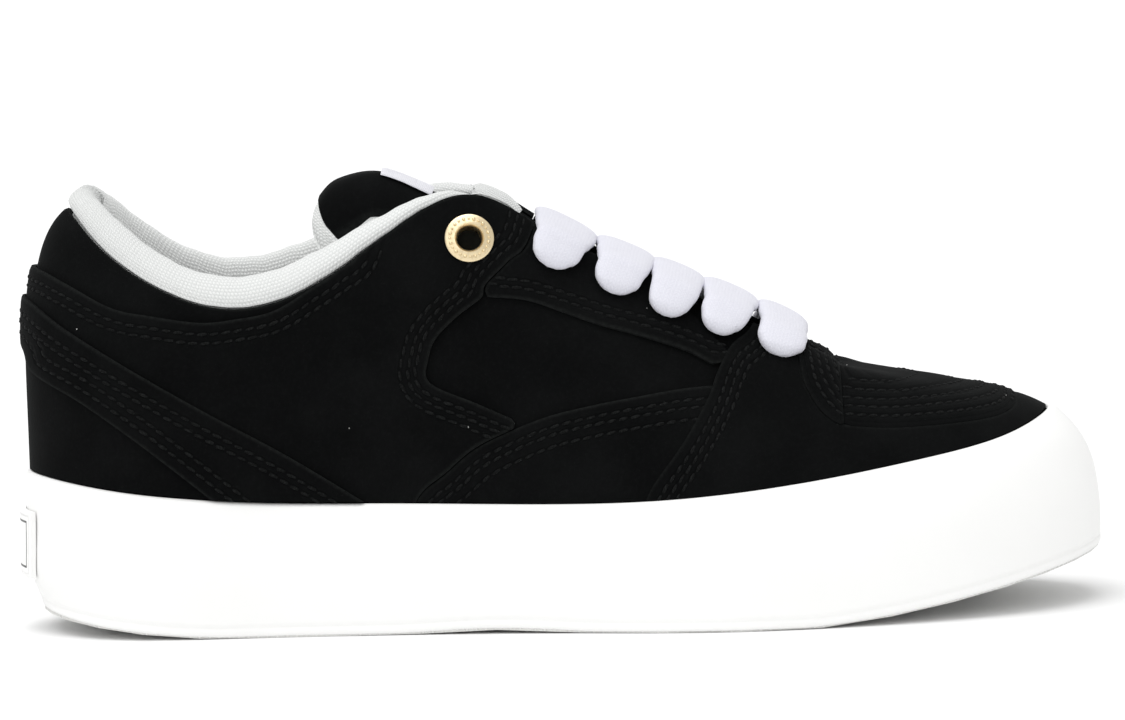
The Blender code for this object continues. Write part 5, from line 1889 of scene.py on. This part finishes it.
@dataclass
class Tongue:
    """The padded tongue: a knitted pad with a suede front and a blank woven label near its top."""

    thickness: float = 0.0062
    label_length: float = 0.0150
    label_width: float = 0.0140
    label_from_top: float = 0.0258
    hang: float = 0.0066
    lean: float = 0.0052
    label_thickness: float = 0.0006
    front_inset: float = 0.0022
    front_short: float = 0.0056
    front_round: float = 0.0028
    rows: tuple[tuple[float, float, float, float, float], ...] = (
        (0.765, 0.495, 0.24, 0.030, 0.45), (0.735, 0.545, 0.28, 0.045, 0.45),
        (0.700, 0.615, 0.32, 0.070, 0.50), (0.600, 0.780, 0.40, 0.120, 0.60),
        (0.500, 0.905, 0.40, 0.130, 0.75), (0.450, 0.955, 0.30, 0.110, 0.85),
        (0.395, 1.005, 0.27, 0.100, 1.00), (0.337, 1.064, 0.30, 0.130, 1.20),
        (0.300, 1.050, 0.31, 0.130, 1.15), (0.280, 1.006, 0.30, 0.120, 0.90),
        (0.269, 0.960, 0.26, 0.100, 0.60),
    )

    def table(self, count: int) -> tuple[np.ndarray, float]:
        """Spread the tongue's sections evenly along it.

        Args:
            count: How many sections to make.

        Returns:
            Rows of x, z, half width, drop, thickness and the direction square to the tongue, and its length.
        """
        half = FORM.sole_width / 2
        rows = [(FORM.origin_x + x * FORM.sole_length, z * FORM.heel_height, w * half, d * FORM.heel_height,
                 t * self.thickness) for x, z, w, d, t in self.rows]
        fine = smooth_line(rows, 14)
        run = unit(np.gradient(fine[:, :2], axis=0))
        both = np.concatenate([fine, run[:, 1:], -run[:, :1]], axis=1)
        length = float(np.linalg.norm(np.diff(fine[:, :2], axis=0), axis=1).sum())
        return evenly(both, count, columns=2), length

    def face(self, table: np.ndarray, across: np.ndarray, below: np.ndarray) -> np.ndarray:
        """Find points of the tongue.

        Args:
            table: Its sections.
            across: Places over its width, from -1 to 1.
            below: How far under its crest, in metres.

        Returns:
            The points.
        """
        x, z, half, drop, _, square_x, square_z = (table[:, k, None] for k in range(7))
        place = (x - FORM.origin_x) / FORM.sole_length
        power = 2 + np.clip((0.44 - place) / 0.08, 0, 1)
        hang = np.clip((0.335 - place) / 0.05, 0, 1) * across**2
        down = drop * np.abs(across) ** power + below
        return np.stack([x - square_x * down - self.lean * hang, np.broadcast_to(half * across, down.shape),
                         z - square_z * down - self.hang * hang], axis=-1)

    def bulge(self, run: np.ndarray, across: np.ndarray) -> np.ndarray:
        """Say how far the pad swells, as a share of its thickness, at places along and across it."""
        swell = 1 + 0.05 * np.sin(run * 330) * np.cos(across * 4) + 0.04 * np.sin(across * 9 + run * 120)
        return 0.5 * (1 - np.abs(across) ** 6) * swell

    def build(self) -> None:
        """Build the pad, its suede front and its label."""
        rows, columns = 150, 46
        table, length = self.table(rows)
        run = np.linspace(0, length, rows)[:, None]
        thick = table[:, 4:5]
        turn = np.linspace(-0.5, 0.5, columns)[None, :] * math.pi
        across = np.sin(turn)
        ends = np.clip((length - run) / 0.0035, 0, 1)
        ends = np.sqrt(np.clip(1 - (1 - ends) ** 2, 0, 1))
        bulge = self.bulge(run, across) * ends
        middle = 0.5 * thick
        top = self.face(table, across, middle - thick * np.maximum(bulge, 0.012) + 0.0007)
        bottom = self.face(table, across, middle + thick * np.maximum(bulge * 0.9, 0.012))
        ring = np.concatenate([top, bottom[:, ::-1]], axis=1)
        along = np.repeat(run, ring.shape[1], axis=1)
        pad = loft("tongue_pad", ring, {"along": along, "across": girths(ring)}, sharp=70)
        dress_piece(pad, Knit("knit_tongue"), ("tongue",))
        self.front(table, length)
        self.label(length)

    def front(self, table: np.ndarray, length: float) -> None:
        """Build the black suede face, cut a little short of the pad's sides and top.

        Args:
            table: The tongue's sections.
            length: Its length.
        """
        run = np.linspace(0, length, len(table))[:, None]
        end = length - self.front_short
        keep = run[:, 0] < end
        table, run = table[keep], run[keep]
        half = table[:, 2:3]
        round_off = np.clip((end - run) / self.front_round, 0, 1)
        share = (half - self.front_inset) / half * np.sqrt(np.clip(1 - (1 - round_off) ** 2.4, 0.0, 1))
        turn = np.linspace(-1, 1, 40)[None, :]
        across = turn * np.maximum(share, 0.05)
        level = table[:, 4:5] * (0.5 - self.bulge(run, across)) + 0.0007
        rim = np.minimum((1 - np.abs(turn)) * half, end - run)
        lift = 0.00075 - 0.0004 * (1 - np.clip(rim / 0.0012, 0, 1)) ** 2
        facts = {"rim": rim + 0 * across, "along": run + 0 * across, "across": half * across}
        front = shell("tongue_suede", self.face(table, across, level - lift),
                      self.face(table, across, level - 0.0001), facts)
        dress_piece(front, Suede("suede_tongue"))

    def label(self, length: float) -> None:
        """Build a plain woven tab with a folded edge, bare of any mark.

        Args:
            length: The tongue's length.
        """
        table, _ = self.table(400)
        run = np.linspace(0, length, len(table))
        far = length - self.label_from_top
        want = np.linspace(far - self.label_length, far, 34)
        table = np.stack([np.interp(want, run, column) for column in table.T], axis=1)
        turn = np.linspace(-1, 1, 44)[None, :]
        half = table[:, 2:3]
        across = turn * (self.label_width / 2 / half)
        level = table[:, 4:5] * 0.5 * np.abs(across) ** 6
        edge = np.minimum((1 - np.abs(turn)) * self.label_width / 2,
                          np.minimum(want - want[0], want[-1] - want)[:, None])
        puff = 0.00022 * np.clip(edge / 0.0010, 0, 1) + 0.00080 + self.label_thickness * 0.4
        facts = {"rim": edge, "along": want[:, None] + 0 * across, "across": half * across}
        piece = shell("label_blank", self.face(table, across, level - puff),
                      self.face(table, across, level - 0.0008), facts)
        dress_piece(piece, Cloth("label_weave", (0.84, 0.84, 0.88), (0.66, 0.66, 0.72), 0.5),
                    ("tongue_label",))


@dataclass
class Sole:
    """The white band, the plain patch at its back, the insole, and the finishes of the slabs below."""

    foxing: float = 0.0027
    lip: float = 0.0015
    patch: float = 0.0017
    patch_width: float = 0.0320
    patch_height: float = 0.0180
    patch_middle: float = 0.0240
    insole_thickness: float = 0.0042

    def band_face(self, s: np.ndarray, level: np.ndarray, extra: float | np.ndarray = 0.0) -> np.ndarray:
        """Outer face of the band above the feather edge."""
        return FORM.wall(s, level, FORM.band + extra)

    def build(self) -> None:
        """Build the band, the patch and the insole, and dress the slabs."""
        self.wrap()
        self.back_patch()
        self.insole()
        for name, finish in (("outsole", TreadRubber("tread")), ("midsole", Rubber("midsole_rubber"))):
            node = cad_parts[name]
            node.data.materials.clear()
            node.data.materials.append(finish.material())

    def wrap(self) -> None:
        """Loft the band round the shoe with a rounded lip and a fine line above its foot."""
        s = np.linspace(0, 1, 560, endpoint=False)
        top = FORM.band_top(s)
        level = FORM.level_of(s, top)
        plan, _ = FORM.outline(s)
        inside, _ = FORM.outline(s, FORM.band - GAP)
        floor = FORM.ground(plan[:, 0])
        heel = np.clip(np.cos(2 * math.pi * s), 0, 1) ** 6
        rows = [
            FORM.raised(inside + FORM.tucked(s, FORM.foxing_foot), floor + FORM.foxing_foot),
            FORM.raised(inside, floor + FORM.feather),
            FORM.wall(s, level * 0.3, GAP), FORM.wall(s, level * 0.6, GAP), FORM.wall(s, level * 0.9, GAP),
        ]
        for angle in np.radians([180, 155, 130, 105, 80, 55, 30, 10]):
            depth = self.lip if angle < math.pi / 2 else 0.35 * self.lip
            near = FORM.level_of(s, top - depth * (1 - math.sin(angle)))
            across = (1 + math.cos(angle)) / 2
            rows.append(FORM.wall(s, near, GAP + (FORM.band - GAP) * across))
        feather = FORM.ground(plan[:, 0]) + FORM.feather
        for share in np.linspace(0.96, 0.0, 12)[1:]:
            z = feather + (top - self.lip - feather) * share
            near = FORM.level_of(s, z)
            bulge = 0.00035 * heel * np.exp(-(((z - 0.037) / 0.004) ** 2))
            soften = 0.00012 * np.sin(s * 2 * math.pi * 9 + 1) * math.sin(share * 9)
            high = self.band_face(s, near, bulge + soften)
            low = FORM.raised(plan, z)
            blend = np.clip(share / 0.12, 0, 1)
            rows.append(low * (1 - blend) + high * blend)
        foot = FORM.foxing_foot
        for height, dent in ((0.0085, 0.0), (0.0062, 0.0), (0.0045, 0.0), (0.0033, 0.0), (0.0030, 0.0002),
                             (0.0027, 0.0002), (0.0024, 0.0), (0.0012, 0.0), (0.0006, 0.0002),
                             (0.0004, 0.0007), (0.0004, 0.0022), (foot, 0.0025)):
            ring, _ = FORM.outline(s, dent)
            rows.append(FORM.raised(ring + FORM.tucked(s, height), floor + height))
        table = np.stack(rows, axis=1)
        table = np.concatenate([table, table[:1]], axis=0)
        along = np.repeat((np.linspace(0, 1, 561) * FORM.perimeter)[:, None], table.shape[1], axis=1)
        piece = loft("band_rubber", table, {"along": along}, sharp=60, fill_ends=False)
        dress_piece(piece, Rubber("band_rubber"), ("foxing",))

    def back_patch(self) -> None:
        """Rubber patch round the back of the band with a raised, thinly lined, otherwise bare face."""
        columns, rows = 90, 52
        offsets = np.linspace(-self.patch_width / 2, self.patch_width / 2, columns)
        s = offsets / FORM.perimeter
        half = self.patch_height / 2
        heights = np.linspace(self.patch_middle - half, self.patch_middle + half, rows)
        side = np.minimum(self.patch_width / 2 - np.abs(offsets)[None, :],
                          half - np.abs(heights - self.patch_middle)[:, None])
        round_off = 0.0004 * (1 - np.clip(side / 0.0008, 0, 1)) ** 2

        def face(extra: float, trim: np.ndarray) -> np.ndarray:
            """Give the patch's surface.

            Args:
                extra: Its offset from the band.
                trim: How far each point sinks below that.

            Returns:
                The points, by row and by place along the patch.
            """
            made = []
            for z, cut in zip(heights, trim):
                plan, outward = FORM.outline(s)
                low = FORM.raised(plan + outward * (extra - cut)[:, None], z)
                floor = FORM.ground(plan[:, 0]) + FORM.feather
                high = self.band_face(s, FORM.level_of(s, np.full_like(s, z)), extra - cut)
                blend = np.clip((z - floor) / (0.15 * FORM.foxing_height), 0, 1)[:, None]
                made.append(low * (1 - blend) + high * blend)
            return np.array(made)

        piece = shell("patch_rubber", face(GAP + self.patch, round_off), face(GAP, 0 * round_off),
                      {"rim": side})
        dress_piece(piece, FramedRubber("patch_rubber"), ("heel_patch",))

    def insole(self) -> None:
        """Cupped insole with a soft raised rim and a woven top."""
        s = np.linspace(0, 1, 240, endpoint=False)
        plan, _ = FORM.outline(s, FORM.band + WALL + 0.0008)
        spine = np.column_stack([np.clip(plan[:, 0], -0.118, 0.112), 0 * s])
        lean = np.clip((plan[:, 0] + 0.02) / 0.12, 0, 1)
        spine[:, 1] = 0.006 * lean
        table, along, across = [], [], []
        for share in np.linspace(0, 1, 26):
            at = plan + (spine - plan) * share
            cup = 0.0045 * np.clip(1 - share / 0.16, 0, 1) ** 2 + 0.0004 * np.sin(at[:, 0] * 210) * share
            edge = 0.0010 * np.clip(1 - share / 0.05, 0, 1) ** 2
            z = FORM.ground(at[:, 0]) + FORM.feather + self.insole_thickness * 0.86 + cup - edge
            table.append(FORM.raised(at, z))
            along.append(at[:, 0])
            across.append(at[:, 1])
        base = FORM.raised(plan, FORM.ground(plan[:, 0]) + FORM.feather)
        low = FORM.raised(spine, FORM.ground(spine[:, 0]) + FORM.feather)
        table = [low, base, *table]
        along = [spine[:, 0], plan[:, 0], *along]
        across = [spine[:, 1], plan[:, 1], *across]
        rows = np.stack(table, axis=1)
        rows = np.concatenate([rows, rows[:1]], axis=0)
        facts = {"along": np.stack(along, axis=1), "across": np.stack(across, axis=1)}
        facts = {k: np.concatenate([v, v[:1]], axis=0) for k, v in facts.items()}
        piece = loft("insole_cloth", rows, facts, closed=False, sharp=60, fill_ends=False)
        dress_piece(piece, Cloth("insole_cloth", (0.72, 0.73, 0.73), (0.52, 0.53, 0.54), 0.9),
                    ("insole",))


@dataclass
class Studio:
    """Pale floor, soft light and the camera at the photograph's angle."""

    elevation: float = 5.0
    distance: float = 1.6
    frame_width: float = 0.3071
    target: tuple[float, float, float] = (0.0015, 0.0, 0.0689)
    roll: float = 1.6
    surround: float = 0.74
    overhead: float = 1.35
    front: float = 0.35

    def build(self) -> None:
        """Set the floor, lights and camera."""
        self.floor()
        self.lights()
        self.camera()

    def floor(self) -> None:
        """A wide pale floor under the shoe."""
        bm = bmesh.new()
        bmesh.ops.create_grid(bm, x_segments=4, y_segments=4, size=40.0)
        bmesh.ops.translate(bm, verts=bm.verts, vec=(0, 0, -0.00005))
        floor = as_object("floor", bm)
        recipe = Recipe("floor_paper")
        tone = recipe.noise(3, 2, 0.5)
        colour = recipe.mix(tone, (0.93, 0.93, 0.93), (0.94, 0.94, 0.94))
        floor.data.materials.append(recipe.dress(Base_Color=colour, Roughness=0.95, Specular_IOR_Level=0.1))

    def lights(self) -> None:
        """An even white surround with soft boxes over and in front of the shoe."""
        world = bpy.data.worlds.new("surround")
        world.use_nodes = True
        world.node_tree.nodes["Background"].inputs["Color"].default_value = (1, 1, 1, 1)
        world.node_tree.nodes["Background"].inputs["Strength"].default_value = self.surround
        bpy.context.scene.world = world
        for name, place, spread, power in (
            ("overhead", (-0.25, -0.10, 1.30), 55, self.overhead),
            ("front", (-0.50, -1.30, 0.80), 40, self.front),
        ):
            lamp = bpy.data.lights.new(name, "SUN")
            lamp.angle = math.radians(spread)
            lamp.energy = power
            item = bpy.data.objects.new(name, lamp)
            bpy.context.scene.collection.objects.link(item)
            item.location = place
            aim = -Vector(place)
            item.rotation_euler = aim.to_track_quat("-Z", "Y").to_euler()

    def camera(self) -> None:
        """A long lens square to the outer side, looking slightly down."""
        lens = bpy.data.cameras.new("camera")
        lens.sensor_width = 36.0
        lens.lens = 36.0 * self.distance / self.frame_width
        lens.clip_end = 50.0
        item = bpy.data.objects.new("camera", lens)
        bpy.context.scene.collection.objects.link(item)
        tilt = math.radians(self.elevation)
        target = Vector(self.target)
        item.location = target + self.distance * Vector((0, -math.cos(tilt), math.sin(tilt)))
        aim = (target - item.location).to_track_quat("-Z", "Y").to_matrix().to_4x4()
        item.matrix_world = (Matrix.Translation(item.location) @ aim
                             @ Matrix.Rotation(math.radians(-self.roll), 4, "Z"))
        bpy.context.scene.camera = item
        bpy.context.scene.view_settings.view_transform = "Standard"


def main() -> None:
    """Build the shoe from the floor up."""
    for name, part in (("studio", Studio()), ("sole", Sole()), ("upper", Upper()), ("collar", Collar()),
                       ("tongue", Tongue()), ("lacing", LACING)):
        LOG.info("building %s", name)
        part.build()


if __name__ == "__main__":
    main()
